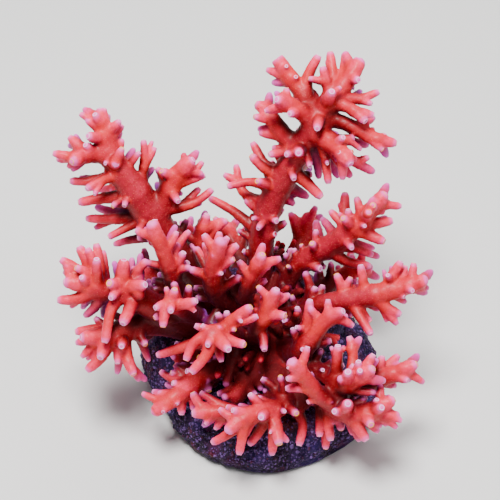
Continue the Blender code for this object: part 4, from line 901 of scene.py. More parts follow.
# Quads on the field's zero surface: one point a crossed cell, one quad a crossed grid edge.
def surfaceNet(field, low, step):
    inside = field < 0
    wide, deep, tall = np.array(field.shape) - 1
    corners = [(x, y, z) for x in (0, 1) for y in (0, 1) for z in (0, 1)]
    count = np.zeros((wide, deep, tall), np.int8)
    for x, y, z in corners:
        count += inside[x:wide + x, y:deep + y, z:tall + z]
    cells = np.argwhere((count > 0) & (count < 8))
    values = [field[cells[:, 0] + x, cells[:, 1] + y, cells[:, 2] + z] for x, y, z in corners]
    values = np.stack(values, 1)
    total = np.zeros((len(cells), 3))
    crossings = np.zeros(len(cells))
    for a in range(8):
        for b in range(a + 1, 8):
            offset = np.subtract(corners[b], corners[a])
            if np.abs(offset).sum() != 1:
                continue
            crossed = (values[:, a] < 0) != (values[:, b] < 0)
            share = np.where(crossed, values[:, a] / (values[:, a] - values[:, b] + 1e-20), 0)
            place = np.array(corners[a]) + share[:, None] * offset
            total += np.where(crossed[:, None], place, 0)
            crossings += crossed
    points = low + (cells + total / crossings[:, None]) * step
    index = np.full(count.shape, -1, np.int32)
    index[tuple(cells.T)] = np.arange(len(cells))
    quads = []
    for axis in range(3):
        one, two = [i for i in range(3) if i != axis]
        head = [slice(None)] * 3
        tail = [slice(None)] * 3
        head[axis] = slice(0, -1)
        tail[axis] = slice(1, None)
        edges = np.argwhere(inside[tuple(head)] != inside[tuple(tail)])
        edges = edges[(edges[:, one] > 0) & (edges[:, two] > 0)
                      & (edges[:, one] < count.shape[one]) & (edges[:, two] < count.shape[two])
                      & (edges[:, axis] < count.shape[axis])]
        ring = []
        for stepOne, stepTwo in ((-1, -1), (0, -1), (0, 0), (-1, 0)):
            cell = edges.copy()
            cell[:, one] += stepOne
            cell[:, two] += stepTwo
            ring.append(index[tuple(cell.T)])
        ring = np.stack(ring, 1)
        flip = inside[tuple(edges.T)] == (axis == 1)
        ring[flip] = ring[flip][:, ::-1]
        quads.append(ring)
    quads = np.vstack(quads)
    return points, quads[(quads >= 0).all(1)]


# The two ends of every side of every quad.
def sidesOf(quads):
    return np.vstack([quads[:, [0, 1]], quads[:, [1, 2]], quads[:, [2, 3]], quads[:, [3, 0]]])


# Evens out the net: every point moves half way to the middle of its neighbours.
def relax(points, quads, rounds):
    ends = sidesOf(quads)
    number = np.bincount(ends[:, 0], minlength=len(points))
    for i in range(rounds):
        total = np.zeros_like(points)
        for column in range(3):
            total[:, column] = np.bincount(ends[:, 0], points[ends[:, 1], column], len(points))
        points = points * 0.5 + total / np.maximum(number, 1)[:, None] * 0.5
    return points


def pointNormals(points, quads):
    across = points[quads[:, 2]] - points[quads[:, 0]]
    other = points[quads[:, 3]] - points[quads[:, 1]]
    flat = np.cross(across, other)
    total = np.zeros_like(points)
    for corner in range(4):
        for column in range(3):
            total[:, column] += np.bincount(quads[:, corner], flat[:, column], len(points))
    return total / np.maximum(np.linalg.norm(total, axis=1), 1e-12)[:, None]


# Mean over a cube, by running sums along each axis.
def boxBlur(grid, reach):
    for axis in range(3):
        pad = [(0, 0)] * 3
        pad[axis] = (reach + 1, reach)
        sums = np.cumsum(np.pad(grid, pad, mode="edge"), axis=axis)
        ahead = [slice(None)] * 3
        behind = [slice(None)] * 3
        ahead[axis] = slice(2 * reach + 1, None)
        behind[axis] = slice(0, -(2 * reach + 1))
        grid = (sums[tuple(ahead)] - sums[tuple(behind)]) / (2 * reach + 1)
    return grid


# How much coral stands in front of each point, near it and over a wider room: 0 in the open, 1 deep
# inside the colony. The colours use it for painted shade.
def crowding(field, low, step, points, normals):
    cell = skin["crowdCell"]
    solid = (field[::cell, ::cell, ::cell] < 0).astype(np.float32)
    total = 0
    for room in skin["crowdRooms"]:
        reach = max(1, int(round(room["reach"] * millimetre / (cell * step))))
        density = boxBlur(boxBlur(solid, reach), reach)
        ahead = points + normals * (room["ahead"] * millimetre)
        share = sample(density, low, step * cell, ahead)
        share = (share - room["open"]) / (room["full"] - room["open"])
        total = total + np.clip(share, 0, 1) * room["weight"]
    return np.clip(total, 0, 1)


def makeNet(branches):
    step = skin["step"]
    field, owner, low = makeField(branches, step)
    points, quads = surfaceNet(field, low, step)
    for i in range(2):
        points = relax(points, quads, skin["relaxRounds"])
        value = sample(field, low, step, points)
        gradient = slope(field, low, step, points)
        size = np.maximum((gradient ** 2).sum(1), skin["leastSlope"])
        points = points - np.clip(value / size, -step, step)[:, None] * gradient
    normals = pointNormals(points, quads)
    points = points + normals * waver(points)[:, None]
    normals = pointNormals(points, quads)
    cells = np.clip(np.round((points - low) / step).astype(int), 0, np.array(owner.shape) - 1)
    owners = owner[tuple(cells.T)]
    crowd = crowding(field, low, step, points, normals)

    def depth(places):
        return sample(field, low, step, places)

    return points, quads, normals, owners, crowd, depth


# What the colours follow: mm to the tip, and how far a finger has come out of its stem.
fingerValues = {
    "farFromTip": 40.0,  # for the foot, which has no tip
    "bluntExtra": 0.8,  # added to the mm, and so are the next three
    "rootExtra": 7,  # where a finger is still inside its stem
    "jointExtra": 25,  # on a stem that goes on as another limb
    "dullTips": {"bud": 2.5, "sprout": 5.5},
    "jointGap": 4 * millimetre,  # the other limb starts this near its end
    "clearReach": 2.5 * millimetre,
    "clearStart": 0.3,
    "blurShare": 0.6,
}


# Both of these for each point of the skin.
def fingerCoordinates(points, owners, branches):
    toTip = np.full(len(points), fingerValues["farFromTip"])
    clear = np.ones(len(points))
    order = np.argsort(owners, kind="stable")
    edges = np.searchsorted(owners[order], np.arange(len(branches) + 1))
    starts = np.array([b["points"][0] for b in branches if b["kind"] == "stem"])
    for i, branch in enumerate(branches):
        mine = order[edges[i]:edges[i + 1]]
        if len(mine) == 0:
            continue
        ahead = (branch["tip"] - points[mine]) @ branch["direction"]
        gap, along = branchDistance(points[mine], branch)
        left = branch["reach"][-1] - along
        if branch["blunt"]:
            toTip[mine] = left / millimetre + fingerValues["bluntExtra"]
        else:
            rounded = np.where(left <= 0, np.maximum(ahead, 0), left + branch["radii"][-1])
            toTip[mine] = rounded / millimetre
        toTip[mine] += fingerValues["dullTips"].get(branch["kind"], 0)
        if branch["kind"] == "stem":
            if np.linalg.norm(starts - branch["tip"], axis=1).min() < fingerValues["jointGap"]:
                toTip[mine] += fingerValues["jointExtra"]
        else:
            beyond = along + np.maximum(gap, 0) - branch["host"]
            clear[mine] = beyond / fingerValues["clearReach"] + fingerValues["clearStart"]
    clear = np.clip(clear, 0, 1)
    return toTip + fingerValues["rootExtra"] * (1 - clear), clear


# Evens out values over the skin, so that no colour stops at a border between branches.
def blurValues(column, quads, rounds):
    ends = sidesOf(quads)
    number = np.bincount(ends[:, 0], minlength=len(column))
    share = fingerValues["blurShare"]
    for i in range(rounds):
        total = np.bincount(ends[:, 0], column[ends[:, 1]], len(column))
        column = column * (1 - share) + share * total / np.maximum(number, 1)
    return column


def meshFrom(name, points, faces):
    mesh = bpy.data.meshes.new(name)
    mesh.vertices.add(len(points))
    mesh.vertices.foreach_set("co", np.ascontiguousarray(points, np.float32).ravel())
    mesh.loops.add(faces.size)
    mesh.loops.foreach_set("vertex_index", np.ascontiguousarray(faces, np.int32).ravel())
    mesh.polygons.add(len(faces))
    starts = np.arange(len(faces), dtype=np.int32) * faces.shape[1]
    mesh.polygons.foreach_set("loop_start", starts)
    mesh.update(calc_edges=True)
    mesh.validate()
    mesh.shade_smooth()
    return mesh


def addValues(mesh, name, values):
    layer = mesh.attributes.new(name, "FLOAT", "POINT")
    layer.data.foreach_set("value", np.ascontiguousarray(values, np.float32))


def addObject(name, data):
    made = bpy.data.objects.new(name, data)
    bpy.context.scene.collection.objects.link(made)
    return made


# Where the skin is cut into pieces, one for each node.
cuts = {
    "rounds": 10,  # of evening out the borders
    "ownVote": 0.5,
    "islandRounds": 3,
    "islandShare": 0.3,  # of its piece's largest part, below which it changes owner
    "islandPoints": 1500,
    "rimPicks": 14,  # points of a rim that a cap's middle is tried under
    "capDepths": (0.8, 1.8, 3),  # mm
    "capChecks": (0.3, 0.6, 1.0),  # shares of the way from the rim to the middle
}


# The open rims of a mesh, as rings of points that each come round once.
def openRims(shell):
    followers, surplus = {}, {}
    for edge in shell.edges:
        if len(edge.link_faces) == 1:
            loop = edge.link_loops[0]
            start, end = loop.vert, loop.link_loop_next.vert
            followers.setdefault(start, []).append(end)
            surplus[start] = surplus.get(start, 0) + 1
            surplus[end] = surplus.get(end, 0) - 1
    starts = [vert for vert, number in surplus.items() for i in range(max(number, 0))]
    rings = []
    while followers:
        path = [starts.pop() if starts else next(iter(followers))]
        while path and path[-1] in followers:
            nexts = followers[path[-1]]
            vert = nexts.pop()
            if not nexts:
                del followers[path[-1]]
            if vert in path:
                begin = path.index(vert)
                rings.append(path[begin:])
                path = path[:begin + 1]
            else:
                path.append(vert)
        if len(path) > 2:  # an open rim, where two pieces touch along an edge
            rings.append(path)
    return rings


# Closes each open rim where a piece was cut from its neighbours, with a fan to one point inside the
# coral. "depth" gives the distance to the skin, which is negative inside.
def closeCuts(mesh, depth):
    shell = bmesh.new()
    shell.from_mesh(mesh)
    shell.normal_update()
    for ring in openRims(shell):
        rim = np.array([tuple(vert.co) for vert in ring])
        inward = np.array([tuple(-vert.normal) for vert in ring])
        picks = np.linspace(0, len(ring) - 1, cuts["rimPicks"]).astype(int)
        under = [rim[picks] + inward[picks] * sunk * millimetre for sunk in cuts["capDepths"]]
        tries = np.vstack([rim.mean(0)] + under)
        checks = [rim * (1 - share) + tries[:, None] * share for share in cuts["capChecks"]]
        worst = depth(np.stack(checks, 1).reshape(-1, 3)).reshape(len(tries), -1).max(1)
        centre = shell.verts.new(tries[worst.argmin()])
        for vert, follower in zip(ring, ring[1:] + ring[:1]):
            shell.faces.new((follower, vert, centre)).smooth = True
    shell.to_mesh(mesh)
    shell.free()


# Evens out the borders between pieces, and gives small islands to the piece around them.
def cleanLabels(labels, quads, kinds):
    ends = sidesOf(quads)
    count = len(labels)

    def vote(ownVote):
        tally = np.bincount(ends[:, 0] * kinds + labels[ends[:, 1]], minlength=count * kinds)
        tally = tally.reshape(count, kinds).astype(np.float32)
        tally[np.arange(count), labels] += ownVote
        return tally

    for i in range(cuts["rounds"]):
        labels = vote(cuts["ownVote"]).argmax(1)
    for i in range(cuts["islandRounds"]):
        island = np.arange(count)
        same = ends[labels[ends[:, 0]] == labels[ends[:, 1]]]
        while True:
            before = island.copy()
            np.minimum.at(island, same[:, 0], island[same[:, 1]])
            island = island[island]
            if (island == before).all():
                break
        sizes = np.bincount(island, minlength=count)
        largest = np.zeros(kinds, int)
        np.maximum.at(largest, labels, sizes[island])
        small = sizes[island] < cuts["islandShare"] * largest[labels]
        small &= sizes[island] < cuts["islandPoints"]
        if not small.any():
            break
        tally = vote(0)
        flat = np.zeros((count, kinds), np.float32)
        np.add.at(flat, island[small], tally[small])
        flat[np.arange(count), labels] = 0
        target = flat.argmax(1)
        known = flat.max(1) > 0
        labels = np.where(small & known[island], target[island], labels)
    return labels


# One closed piece for each node, with the whole colony's normals, so that no seam shows.
def cutPieces(points, quads, normals, owners, depth, values, branches, finishes):
    names = [*limbs, "coral_foot"]
    place = {name: i for i, name in enumerate(names)}
    nodeOf = np.array([place[b["node"]] for b in branches] + [place["coral_foot"]])
    labels = cleanLabels(nodeOf[owners], quads, len(names))
    corner = labels[quads]
    votes = np.stack([(corner == corner[:, [i]]).sum(1) for i in range(4)], 1)
    chosen = corner[np.arange(len(quads)), votes.argmax(1)]
    for i, name in enumerate(names):
        used, local = np.unique(quads[chosen == i], return_inverse=True)
        mesh = meshFrom(f"{name}_skin", points[used], local.reshape(-1, 4))
        for key, column in values.items():
            addValues(mesh, key, column[used])
        closeCuts(mesh, depth)
        ownNormals = np.zeros((len(mesh.vertices), 3), np.float32)
        ownNormals[:len(used)] = normals[used]
        mesh.normals_split_custom_set_from_vertices(ownNormals)
        mesh.materials.append(finishes["crust" if name == "coral_foot" else "skin"])
        piece = addObject(f"{name}_skin", mesh)
        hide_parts(name)
        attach(piece, "root")


# From the 0-255 values of a photograph to the linear colour that nodes take.
def shade(red, green, blue):
    parts = [c / 255 for c in (red, green, blue)]
    return tuple(((c + 0.055) / 1.055) ** 2.4 if c > 0.04 else c / 12.92 for c in parts) + (1,)


coralLooks = {
    "body": shade(192, 10, 18),
    "warm": shade(208, 34, 5),
    "flushAndTopLight": shade(252, 38, 96),  # toward a finger's end, and painted top light on upward faces
    "tip": shade(255, 118, 218),
    # painted shade: trunks and crowded places darken to shaded, the most crowded places to deep
    "shaded": shade(128, 2, 9),
    "deep": shade(78, 0, 7),
    # painted violet light on fingers behind, undersides and back faces, paler at their ends
    "violet": shade(104, 28, 146),
    "violetTip": shade(180, 102, 230),
    "dots": shade(255, 116, 96),
    "cupWall": shade(255, 118, 176),
    "cupRim": shade(255, 186, 226),
    "cupMouth": shade(246, 112, 160),
    "cupAmber": shade(255, 176, 60),
    "trunkShadeFrom": (12.0, 34.0),  # mm from the tip over which the trunks darken with painted shade
    "flushTo": (1.5, 12.0),  # and over which the others go
    "violetTipTo": (0.5, 9.0),
    "violetTo": (2.0, 12.0),
    "paleTo": (0.1, 3.0),
    "shadedFrom": (0.05, 0.6),  # crowding over which the shade comes
    "deepShadeFrom": (0.45, 0.95),
    # share of painted top light: upward faces turn pink as if lit from above
    "topLightFlush": 0.4,
    "dotSize": 0.62 * millimetre,
    "roughness": 0.5,
    "specular": 0.22,
    "coat": 0.06,
    "coatRoughness": 0.2,
    "dryRoughness": 0.7,  # the crust has no coat and no sheen
    "drySpecular": 0.15,
    "sheen": 0.06,  # the soft lilac glow along the edges of the fingers
    "sheenRoughness": 0.35,
    "sheenTint": shade(255, 170, 250),
    "subsurface": 0.12,
    "subsurfaceReach": 1.4 * millimetre,
    "subsurfaceColours": (1.0, 0.35, 0.3),
    "bump": 0.6,
    "skinRelief": 0.12 * millimetre,
    "cupRelief": 0.05 * millimetre,
    "crustRelief": 0.25 * millimetre,
}
stoneLooks = {
    "base": shade(26, 4, 34),
    "blue": shade(34, 12, 72),
    "mauve": shade(74, 20, 66),
    "olive": shade(46, 32, 34),
    "maroon": shade(78, 2, 22),
    "grain": shade(128, 92, 164),
    "crust": shade(104, 3, 14),
    "crustEdge": shade(140, 8, 18),
    "patches": [  # colour, scale, detail, where it begins and is full, its own turn, strength
        ("blue", 34.0, 3.0, 0.46, 0.62, 1.3, 1.0),
        ("mauve", 62.0, 5.0, 0.52, 0.62, 4.1, 0.8),
        ("olive", 48.0, 6.0, 0.57, 0.66, 7.7, 0.75),
        ("maroon", 38.0, 4.0, 0.58, 0.64, 11.2, 0.85),
    ],
    "speckScales": (960.0, 560.0),
    "speckSize": 0.5,
    "speckShare": 0.6,
    "roughness": 0.74,
    "roughnessSpan": (-0.15, 0.2),  # in its pits, and on what stands out
    "specular": 0.25,
    "relief": 1.1 * millimetre,
    "reliefShares": (0.6, 0.8),  # of the pits and of the specks
    "grainRoughness": 0.6,
    "grainRelief": 0.2 * millimetre,
    "crustEnd": (20 * millimetre, 26 * millimetre),  # how far right the crust turns into stone
    "crustSlant": 0.5,  # sooner by this share of the way back
    "crustBehind": 9 * millimetre,  # and at the back by this much less
    "crustRagged": 12 * millimetre,
}


# A short way to build a node tree: each call makes a node, sets its values and joins its inputs.
# An input is given by its name, or by its number as i0, i1 and so on.
class Shader:
    def __init__(self, tree):
        self.tree = tree
        self.count = 0

    def node(self, kind, settings=None, **inputs):
        made = self.tree.nodes.new(kind)
        made.location = (self.count % 8 * 200, -(self.count // 8) * 260)
        self.count += 1
        for key, value in (settings or {}).items():
            setattr(made, key, value)
        for key, value in inputs.items():
            numbered = key[0] == "i" and key[1:].isdigit()
            socket = made.inputs[int(key[1:]) if numbered else key]
            if isinstance(value, bpy.types.NodeSocket):
                self.tree.links.new(value, socket)
            else:
                socket.default_value = value
        return made

    def attribute(self, name):
        return self.node("ShaderNodeAttribute", {"attribute_name": name}).outputs["Fac"]

    def place(self):
        return self.node("ShaderNodeTexCoord").outputs["Object"]

    def span(self, value, low, high, toLow=0.0, toHigh=1.0, kind="SMOOTHSTEP"):
        return self.node("ShaderNodeMapRange", {"interpolation_type": kind},
                         i0=value, i1=low, i2=high, i3=toLow, i4=toHigh).outputs[0]

    def maths(self, operation, a, b):
        return self.node("ShaderNodeMath", {"operation": operation}, i0=a, i1=b).outputs[0]

    def mix(self, share, a, b):
        return self.node("ShaderNodeMix", {"data_type": "RGBA"}, i0=share, i6=a, i7=b).outputs[2]

    def group(self, tree, **inputs):
        return self.node("ShaderNodeGroup", {"node_tree": tree}, **inputs).outputs[0]

    def random(self, low, high, seed):
        return self.node("FunctionNodeRandomValue", {"data_type": "FLOAT"},
                         i2=low, i3=high, Seed=seed).outputs[1]

    def randomVector(self, low, high, seed):
        return self.node("FunctionNodeRandomValue", {"data_type": "FLOAT_VECTOR"},
                         i0=low, i1=high, Seed=seed).outputs[0]

    def surface(self, colour, height, strength, relief, constants, **inputs):
        bump = self.node("ShaderNodeBump", Strength=strength, Distance=relief, Height=height)
        inputs.update({"Base Color": colour, "Normal": bump.outputs[0]})
        made = self.node("ShaderNodeBsdfPrincipled", None, **inputs)
        for socket, value in constants.items():
            made.inputs[socket].default_value = value
        self.tree.links.new(made.outputs[0], self.node("ShaderNodeOutputMaterial").inputs[0])


def newGroup(name, inputs, output):
    tree = bpy.data.node_groups.new(name, "ShaderNodeTree")
    for label, value in inputs.items():
        socket = tree.interface.new_socket(name=label, in_out="INPUT",
                                           socket_type="NodeSocketFloat")
        socket.default_value = value
    tree.interface.new_socket(name=output, in_out="OUTPUT", socket_type="NodeSocketFloat")
    ins = tree.nodes.new("NodeGroupInput")
    outs = tree.nodes.new("NodeGroupOutput")
    return tree, Shader(tree), ins.outputs, outs.inputs[0]


# Fine dots, each with its own strength: polyps no bigger than half a millimetre.
def makeFineDots():
    tree, s, ins, out = newGroup("fineDots", {"Scale": 1500.0, "Size": 0.34}, "Dots")
    cells = s.node("ShaderNodeTexVoronoi", {"voronoi_dimensions": "3D"},
                   Vector=s.place(), Scale=ins["Scale"])
    inner = s.maths("MULTIPLY", ins["Size"], 0.35)
    dot = s.span(cells.outputs["Distance"], inner, ins["Size"], 1.0, 0.0)
    parts = s.node("ShaderNodeSeparateColor", Color=cells.outputs["Color"])
    strength = s.span(parts.outputs[0], 0.15, 0.9)
    tree.links.new(s.maths("MULTIPLY", dot, strength), out)
    return tree


# Soft patches, for colour that changes from place to place. "Turn" gives each use its own pattern.
def makeSoftPatches():
    inputs = {"Scale": 60.0, "Detail": 3.0, "Low": 0.45, "High": 0.6, "Turn": 0.0}
    tree, s, ins, out = newGroup("softPatches", inputs, "Patches")
    cloud = s.node("ShaderNodeTexNoise", {"noise_dimensions": "4D"}, Vector=s.place(),
                   Scale=ins["Scale"], Detail=ins["Detail"], W=ins["Turn"], Roughness=0.6)
    tree.links.new(s.span(cloud.outputs[0], ins["Low"], ins["High"]), out)
    return tree


def newMaterial(name):
    material = bpy.data.materials.new(name)
    material.use_nodes = True
    material.node_tree.nodes.clear()
    return material, Shader(material.node_tree)


# The coral's wet skin: a thin clear coat over a surface that lets a little light in.
def wetFinish(s, colour, height, relief, dry=False):
    looks = coralLooks
    s.surface(colour, height, looks["bump"], relief, {
        "Roughness": looks["dryRoughness" if dry else "roughness"],
        "Specular IOR Level": looks["drySpecular" if dry else "specular"],
        "Sheen Weight": 0.0 if dry else looks["sheen"],
        "Sheen Roughness": looks["sheenRoughness"],
        "Sheen Tint": looks["sheenTint"],
        "Coat Weight": 0.0 if dry else looks["coat"],
        "Coat Roughness": looks["coatRoughness"],
        "Subsurface Weight": looks["subsurface"],
        "Subsurface Radius": looks["subsurfaceColours"],
        "Subsurface Scale": looks["subsurfaceReach"],
    })


# The living skin: warm trunks, pink ends and pale tips, with painted shade on the trunks and dark
# depths, painted top light on upward faces and painted violet light on fingers behind.
def coralColour(s, fineDots, softPatches):
    looks = coralLooks
    toTip, crowd, violet = s.attribute("toTip"), s.attribute("crowd"), s.attribute("violet")
    warm = s.group(softPatches, Scale=70.0, Low=0.42, High=0.62)
    colour = s.mix(warm, looks["body"], looks["warm"])
    # Painted shade on the trunks, far from the tips.
    colour = s.mix(s.span(toTip, *looks["trunkShadeFrom"], 0.0, 0.85), colour, looks["shaded"])
    # Pink toward the ends, and painted top light on upward faces.
    nearTip = s.span(toTip, *looks["flushTo"], 0.95, 0.0)
    flushAndTopLight = s.maths("MAXIMUM", nearTip, s.maths("MULTIPLY", s.attribute("top"), looks["topLightFlush"]))
    mottle = s.group(softPatches, Scale=520.0, Detail=3.0, Low=0.35, High=0.65, Turn=9.0)
    flushAndTopLight = s.maths("MULTIPLY", flushAndTopLight, s.span(mottle, 0.0, 1.0, 0.62, 1.0))
    colour = s.mix(flushAndTopLight, colour, looks["flushAndTopLight"])
    # Painted shade: darker where coral crowds round a point, darkest deep inside the colony.
    colour = s.mix(s.span(crowd, *looks["shadedFrom"], 0.0, 0.9), colour, looks["shaded"])
    colour = s.mix(s.span(crowd, *looks["deepShadeFrom"], 0.0, 0.9), colour, looks["deep"])
    # Painted violet light on fingers behind, undersides and back faces.
    violetEnd = s.span(toTip, *looks["violetTipTo"], 1.0, 0.0)
    violetColour = s.mix(violetEnd, looks["violet"], looks["violetTip"])
    share = s.maths("MULTIPLY", violet, s.span(toTip, *looks["violetTo"], 1.0, 0.55))
    colour = s.mix(share, colour, violetColour)
    dots = s.group(fineDots, Scale=1.0 / looks["dotSize"], Size=0.36)
    # The pale dots fade in the crowded depths, as painted shade.
    paler = s.maths("MULTIPLY", dots, s.span(crowd, 0.2, 0.9, 0.5, 0.12))
    colour = s.mix(paler, colour, looks["dots"])
    colour = s.mix(s.span(toTip, *looks["paleTo"], 0.7, 0.0), colour, looks["tip"])
    return colour, dots


def makeCoralFinish(fineDots, softPatches):
    material, s = newMaterial("coralSkin")
    colour, dots = coralColour(s, fineDots, softPatches)
    wetFinish(s, colour, dots, coralLooks["skinRelief"])
    return material


# The cup at each tip: a pale rim and a darker mouth, in violet on fingers with painted violet
# light. "mouth" is 1 in the mouth and 0 on the wall.
def makeCupFinish(fineDots):
    looks = coralLooks
    material, s = newMaterial("coralCup")
    mouth, violet, amber = s.attribute("mouth"), s.attribute("violet"), s.attribute("amber")
    # Painted violet light on the cups of fingers that have it.
    wall = s.mix(violet, looks["cupWall"], looks["violetTip"])
    rim = s.mix(amber, looks["cupRim"], looks["cupAmber"])
    colour = s.mix(s.span(mouth, 0.1, 0.42), wall, rim)
    inside = s.mix(violet, looks["cupMouth"], looks["violet"])
    colour = s.mix(s.span(mouth, 0.55, 0.9), colour, inside)
    dots = s.group(fineDots, Scale=2600.0, Size=0.4)
    wetFinish(s, colour, dots, looks["cupRelief"])
    return material


# The small polyps on the branches: the skin's own colour, with a paler rim that fades in the
# crowded depths and painted shade in the mouth.
def makePolypFinish(fineDots, softPatches):
    looks = coralLooks
    material, s = newMaterial("coralPolyps")
    colour, dots = coralColour(s, fineDots, softPatches)
    rim, crowd = s.attribute("mouth"), s.attribute("crowd")
    # The paler rim fades in the crowded depths, as painted shade.
    inShade = s.span(crowd, 0.3, 0.9, 1.0, 0.25)
    amount = s.maths("MULTIPLY", s.span(rim, 0.0, 0.6, 0.22, 0.0), inShade)
    colour = s.mix(amount, colour, looks["dots"])
    # Painted shade in each polyp's mouth.
    colour = s.mix(s.span(rim, 0.6, 1.0, 0.0, 0.55), colour, looks["shaded"])
    wetFinish(s, colour, dots, looks["cupRelief"])
    return material


def rockColour(s, fineDots, softPatches):
    looks = stoneLooks
    colour = looks["base"]
    for name, scale, detail, low, high, turn, strength in looks["patches"]:
        patch = s.group(softPatches, Scale=scale, Detail=detail, Low=low, High=high, Turn=turn)
        colour = s.mix(s.maths("MULTIPLY", patch, strength), colour, looks[name])
    fine, coarse = [s.group(fineDots, Scale=scale, Size=looks["speckSize"])
                    for scale in looks["speckScales"]]
    specks = s.maths("MAXIMUM", fine, coarse)
    colour = s.mix(s.maths("MULTIPLY", specks, looks["speckShare"]), colour, looks["grain"])
    pits = s.node("ShaderNodeTexNoise", Vector=s.place(), Scale=420.0, Detail=6.0, Roughness=0.65)
    return colour, specks, pits.outputs[0]


def makeStoneFinish(fineDots, softPatches):
    looks = stoneLooks
    material, s = newMaterial("reefStone")
    colour, specks, pits = rockColour(s, fineDots, softPatches)
    pitShare, speckShare = looks["reliefShares"]
    lowered = s.maths("MULTIPLY", pits, pitShare)
    height = s.maths("ADD", lowered, s.maths("MULTIPLY", specks, speckShare))
    least, most = [looks["roughness"] + change for change in looks["roughnessSpan"]]
    rough = s.span(pits, 0.3, 0.7, least, most)
    s.surface(colour, height, 1.0, looks["relief"], {"Specular IOR Level": looks["specular"]},
              Roughness=rough)
    return material


# Loose grit on the stone: the stone's colours, each grain a little lighter or darker.
def makeGrainFinish(fineDots, softPatches):
    looks = stoneLooks
    material, s = newMaterial("stoneGrit")
    colour, specks, pits = rockColour(s, fineDots, softPatches)
    own = s.attribute("tone")
    colour = s.mix(s.span(own, 0.6, 1.0, 0.0, 0.75), colour, looks["grain"])
    colour = s.mix(s.span(own, 0.0, 0.3, 0.6, 0.0), colour, looks["maroon"])
    s.surface(colour, pits, 0.6, looks["grainRelief"],
              {"Roughness": looks["grainRoughness"], "Specular IOR Level": looks["specular"]})
    return material


# Where the colony has spread over the stone: deep red skin, and stone-coloured right and back.
# "foot" is 1 on the crust itself and 0 on the young fingers that stand on it.
def makeCrustFinish(fineDots, softPatches):
    looks = stoneLooks
    material, s = newMaterial("coralCrust")
    living = coralColour(s, fineDots, softPatches)[0]
    patches = s.group(softPatches, Scale=90.0, Detail=4.0, Low=0.45, High=0.6, Turn=2.2)
    colour = s.mix(patches, looks["crust"], looks["crustEdge"])
    sides = s.node("ShaderNodeSeparateXYZ", Vector=s.place()).outputs
    slanted = s.maths("ADD", sides[0], s.maths("MULTIPLY", sides[1], looks["crustSlant"]))
    across = s.maths("MAXIMUM", slanted, s.maths("SUBTRACT", sides[1], looks["crustBehind"]))
    ragged = s.group(softPatches, Scale=110.0, Detail=5.0, Low=0.3, High=0.7, Turn=6.0)
    edge = s.maths("ADD", across, s.maths("MULTIPLY", ragged, looks["crustRagged"]))
    rock = rockColour(s, fineDots, softPatches)[0]
    colour = s.mix(s.span(edge, *looks["crustEnd"]), colour, rock)
    colour = s.mix(s.span(s.attribute("foot"), 0.25, 0.75), living, colour)
    dots = s.group(fineDots, Scale=1000.0, Size=0.38)
    wetFinish(s, colour, dots, coralLooks["crustRelief"], dry=True)
    return material


# Things that repeat: Geometry Nodes puts one shape at many places. A shape's profile is given as
# radius, height and "mouth", from its hidden middle outwards. "mouth" is kept for the colours.
tipCups = {
    "profile": [
        (0, -0.9, 0), (1.0, -0.9, 0), (1.02, -0.35, 0), (0.98, -0.08, 0.12), (0.87, 0.1, 0.45),
        (0.72, 0.05, 0.45), (0.58, -0.08, 0.66), (0.3, -0.14, 0.75), (0, -0.18, 1),
    ],
    "sides": 12,
    "share": 0.74,  # of the finger's radius at its tip
    "most": 1.5 * millimetre,
    "sink": 0.2,  # share of the cup's size that it sits below the tip
    "clearAbove": 0.3 * millimetre,  # room over its ring, without which there is no cup
    "clearRound": 0.15 * millimetre,
    "clearPoints": 8,
}
skinPolyps = {
    "profile": [(0, -0.5, 0), (1.0, -0.35, 0), (0.7, 0.42, 0.25), (0.34, 0.28, 0.9), (0, 0.12, 1)],
    "sides": 6,
    "density": 56000,  # to the square metre
    "sizes": [0.26 * millimetre, 0.46 * millimetre],
    "seed": 17,
    "bareTip": 2.4,  # mm from the tip that are free of them
}
stoneGrit = {
    "density": 330000,
    "sizes": [0.45 * millimetre, 1.2 * millimetre],
    "seed": 17,
    "few": 3.0,  # the higher, the fewer are large
    "shapes": [(0.7, 0.7, 0.35), (1.3, 1.2, 0.8)],
    "turns": [(-0.4, -0.4, -3.1), (0.4, 0.4, 3.1)],
    "setsIn": 3 * millimetre,  # at this height, and fully this much higher
    "over": 4 * millimetre,
}


# Turns a profile about Z.
def lathe(name, profile, sides):
    shell = bmesh.new()
    layer = shell.verts.layers.float.new("mouth")
    rings = []
    for radius, height, mouth in profile:
        ring = []
        for i in range(sides if radius > 0 else 1):
            turn = 2 * math.pi * i / sides
            point = shell.verts.new((radius * math.cos(turn), radius * math.sin(turn), height))
            point[layer] = mouth
            ring.append(point)
        rings.append(ring)
    for lower, upper in zip(rings, rings[1:]):
        for i in range(sides):
            picks = [(lower, i), (lower, i + 1), (upper, i + 1), (upper, i)]
            corners = [ring[at % sides % len(ring)] for ring, at in picks]
            shell.faces.new(list(dict.fromkeys(corners)))
    bmesh.ops.recalc_face_normals(shell, faces=shell.faces)
    mesh = bpy.data.meshes.new(name)
    shell.to_mesh(mesh)
    shell.free()
    mesh.shade_smooth()
    return addObject(name, mesh)


def newPlacer(name, sockets):
    tree = bpy.data.node_groups.new(name, "GeometryNodeTree")
    for label, kind in {"Geometry": "Geometry", **sockets}.items():
        tree.interface.new_socket(name=label, in_out="INPUT", socket_type=f"NodeSocket{kind}")
    tree.interface.new_socket(name="Geometry", in_out="OUTPUT", socket_type="NodeSocketGeometry")
    ins = tree.nodes.new("NodeGroupInput").outputs
    outs = tree.nodes.new("NodeGroupOutput").inputs
    return Shader(tree), ins, outs


def named(s, label, kind="FLOAT"):
    return s.node("GeometryNodeInputNamedAttribute", {"data_type": kind}, Name=label).outputs[0]


